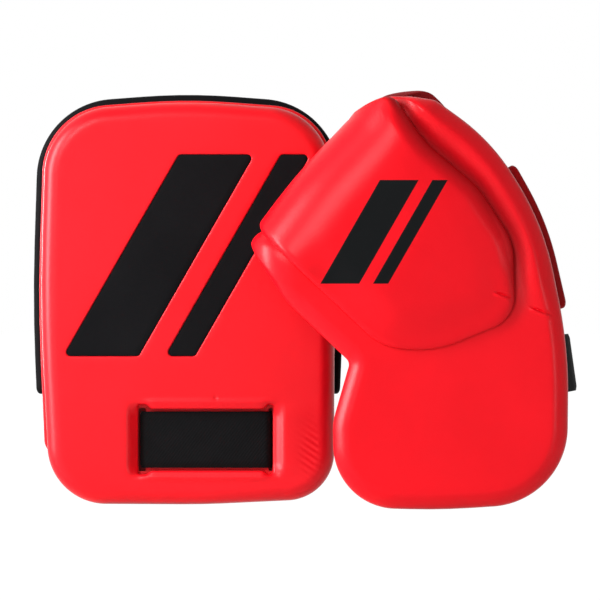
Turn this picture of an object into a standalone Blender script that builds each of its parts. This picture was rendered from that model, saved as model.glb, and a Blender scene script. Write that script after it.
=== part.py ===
"""Pair of goalkeeper hand protectors: a flat board pad and a folded stick-hand pad.

Metres, +Z up. Both pads stand on their lower edges with their faces towards -Y.
The origin is the middle of the flat foot of the left pad's second foam layer.
"""
from math import atan2, ceil, cos, pi, radians, sin, tan

import bmesh
import bpy
from mathutils import Matrix, Vector

for leftover in list(bpy.data.objects):
    bpy.data.objects.remove(leftover, do_unlink=True)

# Fits and facets
CLEARANCE = 0.0003
ARC_STEP = radians(12)
EDGE_STEPS = 4
SMOOTH_ANGLE = radians(35)

# Left pad, red foam face
FACE_WIDTH = 0.2185
FACE_HEIGHT = 0.3005
FACE_TAPER = 0.0045
FACE_CROWN = 0.008
FACE_BOW_RADIUS = 1.2
FACE_CROWN_RADIUS = 0.45
FACE_TOP_RADIUS = 0.054
FACE_FOOT_LEFT_IN = 0.0076
FACE_FOOT_RIGHT_IN = 0.0003
FACE_FOOT_LEFT_RADIUS = 0.044
FACE_FOOT_RIGHT_RADIUS = 0.038
FACE_THICKNESS = 0.022
FACE_EDGE = 0.010

# Left pad, second red layer
BACK_PROUD = 0.002
BACK_THICKNESS = 0.020
BACK_FOOT_IN = 0.0447
BACK_FOOT_RADIUS = 0.020
BACK_CUT_HEIGHT = 0.030
BACK_CUT_RISE = 0.015
BACK_CUT_IN = 0.0083
BACK_CUT_RADIUS = 0.010

# Left pad, black wall behind the board
RIM_PROUD = 0.006
RIM_WALL = 0.013
RIM_DEPTH = 0.030
RIM_EDGE = 0.003
RIM_END_HEIGHT = 0.087

# Left pad, strap window with its two slots
WINDOW_X = 0.0153
WINDOW_Z = 0.0485
WINDOW_WIDTH = 0.105
WINDOW_HEIGHT = 0.052
WINDOW_RADIUS = 0.007
WINDOW_DEPTH = 0.008
WINDOW_LIP = 0.003
SLOT_SPACING = 0.0976
SLOT_ROOM = 0.001

# Left pad, slanted inlays in the face
INLAY_Z = 0.186
INLAY_HEIGHT = 0.150
INLAY_SLANT = 0.086
INLAY_WIDE = 0.056
INLAY_NARROW = 0.022
INLAY_GAP = 0.020
INLAY_RADIUS = 0.003
INLAY_DEPTH = 0.003

# Left pad, linings and hand fittings
LINING_THICKNESS = 0.002
LINING_MARGIN = 0.007
HAND_Z = 0.160
HAND_WIDTH = 0.094
HAND_HEIGHT = 0.124
HAND_THICKNESS = 0.010
HAND_RADIUS = 0.034
PAD_EDGE = 0.006

# Webbing and elastic, both pads
STRAP_WIDTH = 0.042
STRAP_THICKNESS = 0.0025
STRAP_BEND = 0.004
WRIST_DEPTH = 0.052
ARCH_RADIUS = 0.026
PATCH_THICKNESS = 0.0015
PATCH_LENGTH = 0.040
PATCH_MARGIN = 0.002
UNDER_GAP = 0.0083
FLAP_LENGTH = 0.062
FLAP_SETBACK = 0.0065
FLAP_BEND_GAP = 0.0007
FLAP_END_STEPS = 6
ELASTIC_THICKNESS = 0.002
ELASTIC_FOOT = 0.014
ELASTIC_RISE = 0.026
ELASTIC_CROWN = 0.7
FINGER_STRAP_WIDTH = 0.036
FINGER_STRAP_Z = 0.182
THUMB_LOOP_WIDTH = 0.022
THUMB_LOOP_SPAN = 0.034
THUMB_LOOP_IN = 0.0433
THUMB_LOOP_Z = 0.128
THUMB_LOOP_TILT = radians(-55)

# Right pad, place beside and in front of the left pad
RIGHT_X = 0.196
RIGHT_FORWARD = 0.118

# Right pad, fold over the fingers
FOLD_X = -0.1397
FOLD_Z = 0.200
FOLD_ANGLE = radians(54.2)
FOLD_RADIUS = 0.044
FOLD_STEPS = 12
FLAP_REACH = 0.060

# Right pad, raised finger shell
SHELL_THICKNESS = 0.011
SHELL_EDGE = 0.009
SHELL_LEFT = -0.0165
SHELL_LEFT_ACROSS = 0.100
SHELL_LEFT_CREST = -0.003
SHELL_RIGHT = 0.1335
SHELL_RIGHT_ACROSS = 0.075
SHELL_RIGHT_WAIST = 0.030
SHELL_WAIST_LENGTH = 0.031
SHELL_NOSE_LEFT = -0.012
SHELL_NOSE_LEFT_ACROSS = 0.140
SHELL_NOSE_RIGHT = 0.069
SHELL_NOSE_RIGHT_ACROSS = 0.188
SHELL_CORNER = 0.030
SHELL_SIDE_RADIUS = 0.070
SHELL_FLAP_CORNER = 0.020

# Right pad, red foam layers
BOARD_THICKNESS = 0.012
BOARD_EDGE = 0.010
BOARD_FOOT_LEFT = 0.0855
BOARD_FOOT_RIGHT = 0.0825
BOARD_FOOT_LEFT_RADIUS = 0.040
BOARD_FOOT_RIGHT_RADIUS = 0.060
BOARD_END = 0.1535
BOARD_LEFT_END = 0.0285
BOARD_RIGHT_WAIST = 0.0265
BOARD_LEFT_WAIST = 0.026
BOARD_WAIST_LENGTH = 0.072
FLAP_WAIST_LENGTH = 0.047
BOARD_FLAP_PROUD = 0.0033
BOARD_FLAP_TAPER = 0.010
BOARD_CORNER = 0.020
NOTCH_X = -0.0725
NOTCH_Z = 0.108
NOTCH_RADIUS = 0.020
CUFF_BULGE_Z = 0.078
CUFF_BULGE_RADIUS = 0.030
SIDE_LOWER_Z = 0.118
SIDE_LOWER_RADIUS = 0.34
SIDE_UPPER_Z = 0.207
SIDE_UPPER_IN = 0.0205
SIDE_UPPER_RADIUS = 0.20
SHOULDER_ACROSS = 0.095
SHOULDER_RADIUS = 0.15
SECOND_THICKNESS = 0.014
SECOND_INSET = 0.002
SECOND_START = 0.112
SECOND_CORNER = 0.012

# Right pad, strip on the little-finger edge
SIDE_RIM_PROUD = 0.0085
SIDE_RIM_WALL = 0.014
SIDE_RIM_DEPTH = 0.022
SIDE_RIM_FOOT = 0.145
SIDE_RIM_TOP = 0.247

# Right pad, pads and straps
CUFF_X = -0.020
CUFF_WIDTH = 0.088
CUFF_HEIGHT = 0.066
CUFF_THICKNESS = 0.016
CUFF_RADIUS = 0.022
KNUCKLE_ALONG = 0.066
KNUCKLE_ACROSS = 0.133
KNUCKLE_LENGTH = 0.066
KNUCKLE_WIDTH = 0.030
KNUCKLE_RADIUS = 0.012
KNUCKLE_THICKNESS = 0.008
WRIST_X = 0.0215
WRIST_Z = 0.0976
WRIST_TILT = radians(-8)
WRIST_FOOT = 0.053
WRIST_FLARE = 0.033
RIGHT_FINGER_WIDTH = 0.024

# Depths behind each face
LEFT_BACK_FRONT = FACE_THICKNESS + CLEARANCE
LEFT_BACK_REAR = LEFT_BACK_FRONT + BACK_THICKNESS
LEFT_LINING_REAR = LEFT_BACK_REAR + CLEARANCE + LINING_THICKNESS
LEFT_FOOT_Y = LEFT_BACK_FRONT + BACK_THICKNESS / 2
BOARD_FRONT = SHELL_THICKNESS + CLEARANCE
BOARD_REAR = BOARD_FRONT + BOARD_THICKNESS
SECOND_FRONT = BOARD_REAR + CLEARANCE
SECOND_REAR = SECOND_FRONT + SECOND_THICKNESS
RIGHT_LINING_REAR = SECOND_REAR + CLEARANCE + LINING_THICKNESS
FOLD_CREST = FOLD_RADIUS - pi * FOLD_RADIUS / 2
FLAP_END = FOLD_RADIUS - pi * FOLD_RADIUS - FLAP_REACH

ALONG = Vector((cos(FOLD_ANGLE), sin(FOLD_ANGLE)))
ACROSS = Vector((sin(FOLD_ANGLE), -cos(FOLD_ANGLE)))


def finish(name, colour, roughness):
    """Plain material of one colour."""
    material = bpy.data.materials.new(name)
    material.use_nodes = True
    shader = material.node_tree.nodes["Principled BSDF"]
    shader.inputs["Base Color"].default_value = (*colour, 1.0)
    shader.inputs["Roughness"].default_value = roughness
    shader.inputs["Metallic"].default_value = 0.0
    material.diffuse_color = (*colour, 1.0)
    return material


def frame(name, parent=None, place=(0, 0, 0), tilt=0.0):
    """Empty that carries pieces, turned about Y by the tilt."""
    empty = bpy.data.objects.new(name, None)
    empty.location = place
    empty.rotation_euler = (0, tilt, 0)
    empty.parent = parent
    bpy.context.scene.collection.objects.link(empty)
    return empty


def piece(name, form, material, parent):
    """Named object from a finished form, shaded smooth except at its sharp edges."""
    bmesh.ops.recalc_face_normals(form, faces=form.faces)
    if form.calc_volume(signed=True) < 0:
        bmesh.ops.reverse_faces(form, faces=form.faces)
    mesh = bpy.data.meshes.new(name)
    form.to_mesh(mesh)
    form.free()
    mesh.shade_smooth()
    mesh.set_sharp_from_angle(angle=SMOOTH_ANGLE)
    mesh.materials.append(material)
    made = bpy.data.objects.new(name, mesh)
    made.parent = parent
    bpy.context.scene.collection.objects.link(made)
    return made


def rounded(corners, closed=True):
    """Walk (u, v, radius) corners and round each: (point, outward normal) pairs, counter-clockwise."""
    walk = []
    last = len(corners) - 1
    for index, (u, v, radius) in enumerate(corners):
        here = Vector((u, v))
        before = Vector(corners[index - 1][:2])
        after = Vector(corners[(index + 1) % (last + 1)][:2])
        entry = (here - before).normalized()
        leave = (after - here).normalized()
        if not closed and index in (0, last):
            heading = leave if index == 0 else entry
            walk.append((here, Vector((heading.y, -heading.x))))
            continue
        turn = atan2(entry.cross(leave), entry.dot(leave))
        side = 1 if turn > 0 else -1
        normal = Vector((entry.y, -entry.x))
        centre = here - entry * radius * tan(abs(turn) / 2) - normal * radius * side
        steps = max(2, ceil(abs(turn) / ARC_STEP))
        for step in range(steps + 1):
            swung = Matrix.Rotation(turn * step / steps, 2) @ normal
            walk.append((centre + swung * radius * side, swung))
    return walk


def quarter_edge(radius):
    """Quarter-round edge as (inset, depth) pairs, from the face to the side."""
    if radius == 0:
        return [(0.0, 0.0)]
    swing = [pi / 2 * step / EDGE_STEPS for step in range(EDGE_STEPS + 1)]
    return [(radius * (1 - sin(angle)), radius * (1 - cos(angle))) for angle in swing]


def loft(rings):
    """Closed form through rings of equal count, with flat ends."""
    form = bmesh.new()
    layers = [[form.verts.new(point) for point in ring] for ring in rings]
    for lower, upper in zip(layers, layers[1:]):
        for index in range(len(lower)):
            form.faces.new((lower[index - 1], lower[index], upper[index], upper[index - 1]))
    form.faces.new(layers[0])
    form.faces.new(layers[-1])
    return form


def slab(outline, front, thickness, front_edge=0.0, back_edge=0.0):
    """Sheet of an outline in the pad's plane, with rounded front and back edges."""
    profile = [(inset, front + depth) for inset, depth in quarter_edge(front_edge)]
    rear = front + thickness
    profile += [(inset, rear - depth) for inset, depth in reversed(quarter_edge(back_edge))]
    rings = []
    for inset, depth in profile:
        ring = [point - normal * inset for point, normal in outline]
        rings.append([Vector((point.x, depth, point.y)) for point in ring])
    return loft(rings)


def strip(route, thickness, width):
    """Webbing of a thickness along a route of (x, y, radius) corners, as wide as given along Z."""
    walk = rounded(route, closed=False)
    outer = [point + normal * thickness / 2 for point, normal in walk]
    inner = [point - normal * thickness / 2 for point, normal in walk]
    loop = outer + inner[::-1]
    return loft([[Vector((point.x, point.y, end)) for point in loop] for end in (-width / 2, width / 2)])


def wall(walk, outside, thickness, front, depth, edge):
    """Bar with cut edges and ends that follows a walk, from the outside line inwards."""
    def ring(point, normal, shrink):
        out = outside - shrink
        back = outside - thickness + shrink
        near = front + shrink
        far = front + depth - shrink
        section = [
            (out - edge, near), (out, near + edge), (out, far - edge), (out - edge, far),
            (back + edge, far), (back, far - edge), (back, near + edge), (back + edge, near),
        ]
        spots = [(point + normal * offset, deep) for offset, deep in section]
        return [Vector((spot.x, deep, spot.y)) for spot, deep in spots]

    def end_ring(point, normal, side):
        heading = Vector((-normal.y, normal.x))
        return ring(point + heading * edge * side, normal, edge)

    rings = [ring(point, normal, 0) for point, normal in walk]
    return loft([end_ring(*walk[0], -1), *rings, end_ring(*walk[-1], 1)])


def cut(target, form, name, parent):
    """Subtract a form from a piece, with the cutter kept as a hidden wire guide."""
    cutter = piece(name, form, target.data.materials[0], parent)
    cutter.hide_render = True
    cutter.display_type = 'WIRE'
    boolean = target.modifiers.new(name, 'BOOLEAN')
    boolean.operation = 'DIFFERENCE'
    boolean.solver = 'EXACT'
    boolean.object = cutter


def box_outline(centre_x, centre_z, width, height, radius):
    """Rounded rectangle in the pad's plane."""
    left = centre_x - width / 2
    right = centre_x + width / 2
    low = centre_z - height / 2
    high = centre_z + height / 2
    return rounded([(left, low, radius), (right, low, radius), (right, high, radius), (left, high, radius)])


def elastic(span, rise, width):
    """Elastic band with a flat sewn foot at each end and an arch between them."""
    middle = ELASTIC_THICKNESS / 2 + CLEARANCE
    half = span / 2
    bend = ELASTIC_THICKNESS
    crown = min(half, rise) * ELASTIC_CROWN
    route = [
        (-half - ELASTIC_FOOT, middle, 0), (-half, middle, bend), (-half, rise, crown),
        (half, rise, crown), (half, middle, bend), (half + ELASTIC_FOOT, middle, 0),
    ]
    return strip(route, ELASTIC_THICKNESS, width)


def pad_corners(half_width, top, foot_corners, foot_height):
    """Corners of the left pad's outline above its foot: bowed sides and a crowned top edge."""
    shoulder = half_width - FACE_TAPER
    middle = (foot_height + top) / 2
    right = [(half_width, middle, FACE_BOW_RADIUS), (shoulder, top - FACE_CROWN, FACE_TOP_RADIUS)]
    left = [(-u, v, radius) for u, v, radius in reversed(right)]
    return foot_corners + right + [(0, top, FACE_CROWN_RADIUS)] + left


def left_face_outline():
    """Outline of the left pad's face, with a rounder corner at the left of its foot."""
    half_width = FACE_WIDTH / 2
    feet = [
        (FACE_FOOT_LEFT_IN - half_width, 0, FACE_FOOT_LEFT_RADIUS),
        (half_width - FACE_FOOT_RIGHT_IN, 0, FACE_FOOT_RIGHT_RADIUS),
    ]
    return rounded(pad_corners(half_width, FACE_HEIGHT, feet, 0))


def second_half_width():
    """Half the width of the left pad's second layer at its widest."""
    return FACE_WIDTH / 2 + BACK_PROUD


def second_layer_corners():
    """Corners of the left pad's second layer, whose foot is cut in behind the face's round corners."""
    side = second_half_width() - FACE_TAPER
    right = [
        (side - BACK_FOOT_IN, 0, BACK_FOOT_RADIUS),
        (side - BACK_CUT_IN, BACK_CUT_HEIGHT, BACK_FOOT_RADIUS),
        (side, BACK_CUT_HEIGHT + BACK_CUT_RISE, BACK_CUT_RADIUS),
    ]
    left = [(-u, v, radius) for u, v, radius in reversed(right)]
    corners = pad_corners(second_half_width(), FACE_HEIGHT + BACK_PROUD, right, 0)
    return corners + left


def level_point(low, high, height):
    """Point at a height on the line between two corners."""
    share = (height - low[1]) / (high[1] - low[1])
    return (low[0] + (high[0] - low[0]) * share, height, 0)


def rim_walk():
    """Open line up one side of the second layer, over the top and down the other side."""
    half_width = second_half_width()
    top = FACE_HEIGHT + BACK_PROUD
    cut_end = (half_width - FACE_TAPER, BACK_CUT_HEIGHT + BACK_CUT_RISE)
    start = level_point(cut_end, (half_width, top / 2), RIM_END_HEIGHT)
    corners = pad_corners(half_width, top, [start], 0)
    return rounded(corners + [(-start[0], RIM_END_HEIGHT, 0)], closed=False)


def slot_cutter(side, front, rear):
    """Slot for the webbing: its inner edge lies under the middle of the webbing's bend."""
    reach = SLOT_SPACING / 2
    inner = reach - STRAP_BEND
    outer = reach + STRAP_THICKNESS / 2 + SLOT_ROOM
    middle = WINDOW_X + side * (inner + outer) / 2
    height = STRAP_WIDTH + 2 * SLOT_ROOM
    return slab(box_outline(middle, WINDOW_Z, outer - inner, height, SLOT_ROOM), front, rear - front)


def window_cutter():
    """Window recess whose lips open outwards at the face."""
    outline = box_outline(WINDOW_X, WINDOW_Z, WINDOW_WIDTH, WINDOW_HEIGHT, WINDOW_RADIUS)
    profile = [(WINDOW_LIP, -WINDOW_LIP), *quarter_edge(WINDOW_LIP), (0, WINDOW_DEPTH)]
    rings = []
    for outset, depth in profile:
        ring = [point + normal * outset for point, normal in outline]
        rings.append([Vector((point.x, depth, point.y)) for point in ring])
    return loft(rings)


def inlay_outline(start, width, room):
    """Slanted bar with level ends, widened by the room all round."""
    low = INLAY_Z - INLAY_HEIGHT / 2
    high = INLAY_Z + INLAY_HEIGHT / 2
    lean = INLAY_SLANT / 2
    corners = [
        (start - lean, low, INLAY_RADIUS), (start + width - lean, low, INLAY_RADIUS),
        (start + width + lean, high, INLAY_RADIUS), (start + lean, high, INLAY_RADIUS),
    ]
    return [(point + normal * room, normal) for point, normal in rounded(corners)]


def flap_level(under_y):
    """Depth of the flap's middle, over the strap's under end and the two patches."""
    return under_y + STRAP_THICKNESS + 2 * PATCH_THICKNESS + 3 * CLEARANCE


def flap_root_x(foot_x, top_x, front_y, under_y):
    """Hinge line of the flap, just past the end of the strap's arch."""
    turn = pi / 2 + atan2(top_x - foot_x, flap_level(under_y) - front_y)
    return top_x - ARCH_RADIUS * tan(turn / 2) - FLAP_SETBACK


def wrist_strap(foot_x, top_x, front_y, under_y):
    """Route of the webbing from the end under the flap, round the wrist, to the flap's root."""
    flap_y = flap_level(under_y)
    root_x = flap_root_x(foot_x, top_x, front_y, under_y)
    return [
        (root_x - UNDER_GAP, under_y, 0), (-top_x, under_y, ARCH_RADIUS), (-foot_x, front_y, STRAP_BEND),
        (foot_x, front_y, STRAP_BEND), (top_x, flap_y, ARCH_RADIUS),
        (root_x + STRAP_THICKNESS / 2 + FLAP_BEND_GAP, flap_y, 0),
    ]


def wrist_fastening(side, carrier, root_x, under_y, stuff):
    """Flap on its hinge line with the hook patch, and the loop patch on the strap below it."""
    flap_y = flap_level(under_y)
    hinge = frame(side + "_flap_hinge", carrier, (root_x, flap_y, 0))
    half = STRAP_THICKNESS / 2
    swing = [pi * step / FLAP_END_STEPS for step in range(FLAP_END_STEPS + 1)]
    arc = [(half * sin(angle), half * cos(angle)) for angle in swing]
    loop = arc + [(-FLAP_LENGTH, -half), (-FLAP_LENGTH, half)]
    ends = (-STRAP_WIDTH / 2, STRAP_WIDTH / 2)
    flap = loft([[Vector((u, v, end)) for u, v in loop] for end in ends])
    piece(side + "_wrist_flap", flap, stuff["webbing"], hinge)

    patch_width = STRAP_WIDTH - 2 * PATCH_MARGIN
    patch_end = root_x - UNDER_GAP - PATCH_MARGIN
    patch_start = patch_end - PATCH_LENGTH
    loop_y = under_y + half + CLEARANCE + PATCH_THICKNESS / 2
    hook_y = loop_y + PATCH_THICKNESS + CLEARANCE
    loop_route = [(patch_start, loop_y, 0), (patch_end, loop_y, 0)]
    piece(side + "_loop_patch", strip(loop_route, PATCH_THICKNESS, patch_width), stuff["loop"], carrier)
    hook_route = [(patch_start - root_x, hook_y - flap_y, 0), (patch_end - root_x, hook_y - flap_y, 0)]
    piece(side + "_hook_patch", strip(hook_route, PATCH_THICKNESS, patch_width), stuff["hook"], hinge)


def build_left(stuff):
    pad = frame("left_pad", None, (0, -LEFT_FOOT_Y, 0))

    face_form = slab(left_face_outline(), 0, FACE_THICKNESS, FACE_EDGE)
    face = piece("left_front_board", face_form, stuff["red_foam"], pad)
    second_outline = rounded(second_layer_corners())
    second_form = slab(second_outline, LEFT_BACK_FRONT, BACK_THICKNESS)
    second = piece("left_back_board", second_form, stuff["red_foam"], pad)

    rim_front = LEFT_BACK_REAR + CLEARANCE
    rim = wall(rim_walk(), RIM_PROUD, RIM_WALL, rim_front, RIM_DEPTH, RIM_EDGE)
    piece("left_rim", rim, stuff["black_foam"], pad)

    lining_inset = RIM_WALL - RIM_PROUD + CLEARANCE
    lining_outline = [(point - normal * lining_inset, normal) for point, normal in second_outline]
    lining = piece("left_lining", slab(lining_outline, rim_front, LINING_THICKNESS), stuff["lining"], pad)

    cut(face, window_cutter(), "window", pad)
    for side, label in ((-1, "near"), (1, "far")):
        cut(face, slot_cutter(side, WINDOW_DEPTH / 2, FACE_THICKNESS * 2), "face_slot_" + label, pad)
        cut(second, slot_cutter(side, FACE_THICKNESS / 2, LEFT_BACK_REAR * 2), "back_slot_" + label, pad)
        cut(lining, slot_cutter(side, LEFT_BACK_REAR - BACK_THICKNESS / 2, LEFT_LINING_REAR * 2),
            "lining_slot_" + label, pad)

    motif = INLAY_WIDE + INLAY_GAP + INLAY_NARROW
    wide_start = -motif / 2
    narrow_start = motif / 2 - INLAY_NARROW
    bars = (("wide", wide_start, INLAY_WIDE), ("narrow", narrow_start, INLAY_NARROW))
    for label, start, width in bars:
        pocket = slab(inlay_outline(start, width, CLEARANCE), -INLAY_DEPTH, 2 * INLAY_DEPTH + CLEARANCE)
        cut(face, pocket, "pocket_" + label, pad)
        bar = slab(inlay_outline(start, width, 0), 0, INLAY_DEPTH)
        piece("left_inlay_" + label, bar, stuff["black_foam"], pad)

    hand = box_outline(WINDOW_X, HAND_Z, HAND_WIDTH, HAND_HEIGHT, HAND_RADIUS)
    hand_front = LEFT_LINING_REAR + CLEARANCE
    piece("left_hand_pad", slab(hand, hand_front, HAND_THICKNESS, 0, PAD_EDGE), stuff["cushion"], pad)

    finger_rise = HAND_THICKNESS + ELASTIC_RISE
    finger_span = HAND_WIDTH + 2 * ELASTIC_THICKNESS
    finger_place = frame("left_finger_place", pad, (WINDOW_X, LEFT_LINING_REAR, FINGER_STRAP_Z))
    finger_strap = elastic(finger_span, finger_rise, FINGER_STRAP_WIDTH)
    piece("left_finger_strap", finger_strap, stuff["elastic"], finger_place)
    thumb_spot = (THUMB_LOOP_IN - FACE_WIDTH / 2, LEFT_LINING_REAR, THUMB_LOOP_Z)
    thumb_place = frame("left_thumb_place", pad, thumb_spot, THUMB_LOOP_TILT)
    thumb_loop = elastic(THUMB_LOOP_SPAN, ELASTIC_RISE, THUMB_LOOP_WIDTH)
    piece("left_thumb_loop", thumb_loop, stuff["elastic"], thumb_place)

    wrist = frame("left_wrist", pad, (WINDOW_X, 0, WINDOW_Z))
    reach = SLOT_SPACING / 2
    front_y = WINDOW_DEPTH - CLEARANCE - STRAP_THICKNESS / 2
    under_y = LEFT_LINING_REAR + WRIST_DEPTH
    route = wrist_strap(reach, reach, front_y, under_y)
    piece("left_wrist_strap", strip(route, STRAP_THICKNESS, STRAP_WIDTH), stuff["webbing"], wrist)
    root_x = flap_root_x(reach, reach, front_y, under_y)
    wrist_fastening("left", wrist, root_x, under_y, stuff)


def fold_point(along, across, radius):
    """Corner given along the fold line and across it, in the pad's plane."""
    spot = Vector((FOLD_X, FOLD_Z)) + ALONG * along + ACROSS * across
    return (spot.x, spot.y, radius)


def fold(form):
    """Bend a flat-cut form round the fold line: front, half turn, then the flap behind."""
    for step in range(FOLD_STEPS + 1):
        across = FOLD_RADIUS - pi * FOLD_RADIUS * step / FOLD_STEPS
        u, v, _ = fold_point(0, across, 0)
        whole = form.verts[:] + form.edges[:] + form.faces[:]
        bmesh.ops.bisect_plane(form, geom=whole, plane_co=(u, 0, v), plane_no=(ACROSS.x, 0, ACROSS.y))
    for vert in form.verts:
        spot = Vector((vert.co.x - FOLD_X, vert.co.z - FOLD_Z))
        along = spot.dot(ALONG)
        across = spot.dot(ACROSS)
        if across >= FOLD_RADIUS:
            continue
        swing = min((FOLD_RADIUS - across) / FOLD_RADIUS, pi)
        run = FOLD_RADIUS - across - FOLD_RADIUS * swing
        reach = FOLD_RADIUS - vert.co.y
        u, v, _ = fold_point(along, FOLD_RADIUS - reach * sin(swing) - run * cos(swing), 0)
        vert.co = (u, FOLD_RADIUS - reach * cos(swing) + run * sin(swing), v)
    return form


def board_side_corners(inset):
    """Corners of the right pad's bowed edge on the little-finger side, from the foot upwards."""
    return [
        (BOARD_FOOT_RIGHT - inset, SIDE_LOWER_Z, SIDE_LOWER_RADIUS),
        (BOARD_FOOT_RIGHT - SIDE_UPPER_IN - inset, SIDE_UPPER_Z, SIDE_UPPER_RADIUS),
    ]


def front_board_corners():
    """Flat pattern of the right pad's sheet, waisted at the fold, with a flap that narrows to its edge."""
    end = BOARD_END
    left = -BOARD_LEFT_END
    near = FOLD_CREST + BOARD_WAIST_LENGTH
    far = FOLD_CREST - FLAP_WAIST_LENGTH
    proud = BOARD_FLAP_PROUD
    taper = BOARD_FLAP_TAPER
    return [
        (-BOARD_FOOT_LEFT, 0, BOARD_FOOT_LEFT_RADIUS), (BOARD_FOOT_RIGHT, 0, BOARD_FOOT_RIGHT_RADIUS),
        *board_side_corners(0),
        fold_point(end, SHOULDER_ACROSS, SHOULDER_RADIUS),
        fold_point(end, near, BOARD_CORNER), fold_point(end - BOARD_RIGHT_WAIST, FOLD_CREST, BOARD_CORNER),
        fold_point(end + proud, far, BOARD_CORNER), fold_point(end - taper, FLAP_END, BOARD_CORNER),
        fold_point(left + taper, FLAP_END, BOARD_CORNER), fold_point(left - proud, far, BOARD_CORNER),
        fold_point(left + BOARD_LEFT_WAIST, FOLD_CREST, BOARD_CORNER), fold_point(left, near, BOARD_CORNER),
        (NOTCH_X, NOTCH_Z, NOTCH_RADIUS),
        (-BOARD_FOOT_LEFT, CUFF_BULGE_Z, CUFF_BULGE_RADIUS),
    ]


def second_board_corners():
    """Second layer of the right pad, set in from the sheet and ending before the fold."""
    inset = SECOND_INSET
    return [
        (inset - BOARD_FOOT_LEFT, 0, BOARD_FOOT_LEFT_RADIUS),
        (BOARD_FOOT_RIGHT - inset, 0, BOARD_FOOT_RIGHT_RADIUS),
        *board_side_corners(inset),
        fold_point(BOARD_END - 2 * inset, SECOND_START, SECOND_CORNER),
        fold_point(inset - BOARD_LEFT_END, SECOND_START, SECOND_CORNER),
        (inset - BOARD_FOOT_LEFT, CUFF_BULGE_Z - inset, CUFF_BULGE_RADIUS),
    ]


def shell_corners():
    """Flat pattern of the raised finger shell, over the front, round the fold and down the flap."""
    near = FOLD_CREST + SHELL_WAIST_LENGTH
    far = FOLD_CREST - SHELL_WAIST_LENGTH
    edge = FLAP_END + SHELL_EDGE
    waist = SHELL_RIGHT - SHELL_RIGHT_WAIST
    return [
        fold_point(SHELL_NOSE_LEFT, SHELL_NOSE_LEFT_ACROSS, SHELL_CORNER),
        fold_point(SHELL_NOSE_RIGHT, SHELL_NOSE_RIGHT_ACROSS, SHELL_CORNER),
        fold_point(SHELL_RIGHT, SHELL_RIGHT_ACROSS, SHELL_SIDE_RADIUS),
        fold_point(SHELL_RIGHT, near, SHELL_FLAP_CORNER), fold_point(waist, FOLD_CREST, SHELL_FLAP_CORNER),
        fold_point(SHELL_RIGHT, far, SHELL_FLAP_CORNER), fold_point(SHELL_RIGHT, edge, SHELL_FLAP_CORNER),
        fold_point(SHELL_LEFT_CREST, edge, SHELL_FLAP_CORNER),
        fold_point(SHELL_LEFT_CREST, FOLD_CREST, SHELL_SIDE_RADIUS),
        fold_point(SHELL_LEFT, SHELL_LEFT_ACROSS, SHELL_SIDE_RADIUS),
    ]


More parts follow.
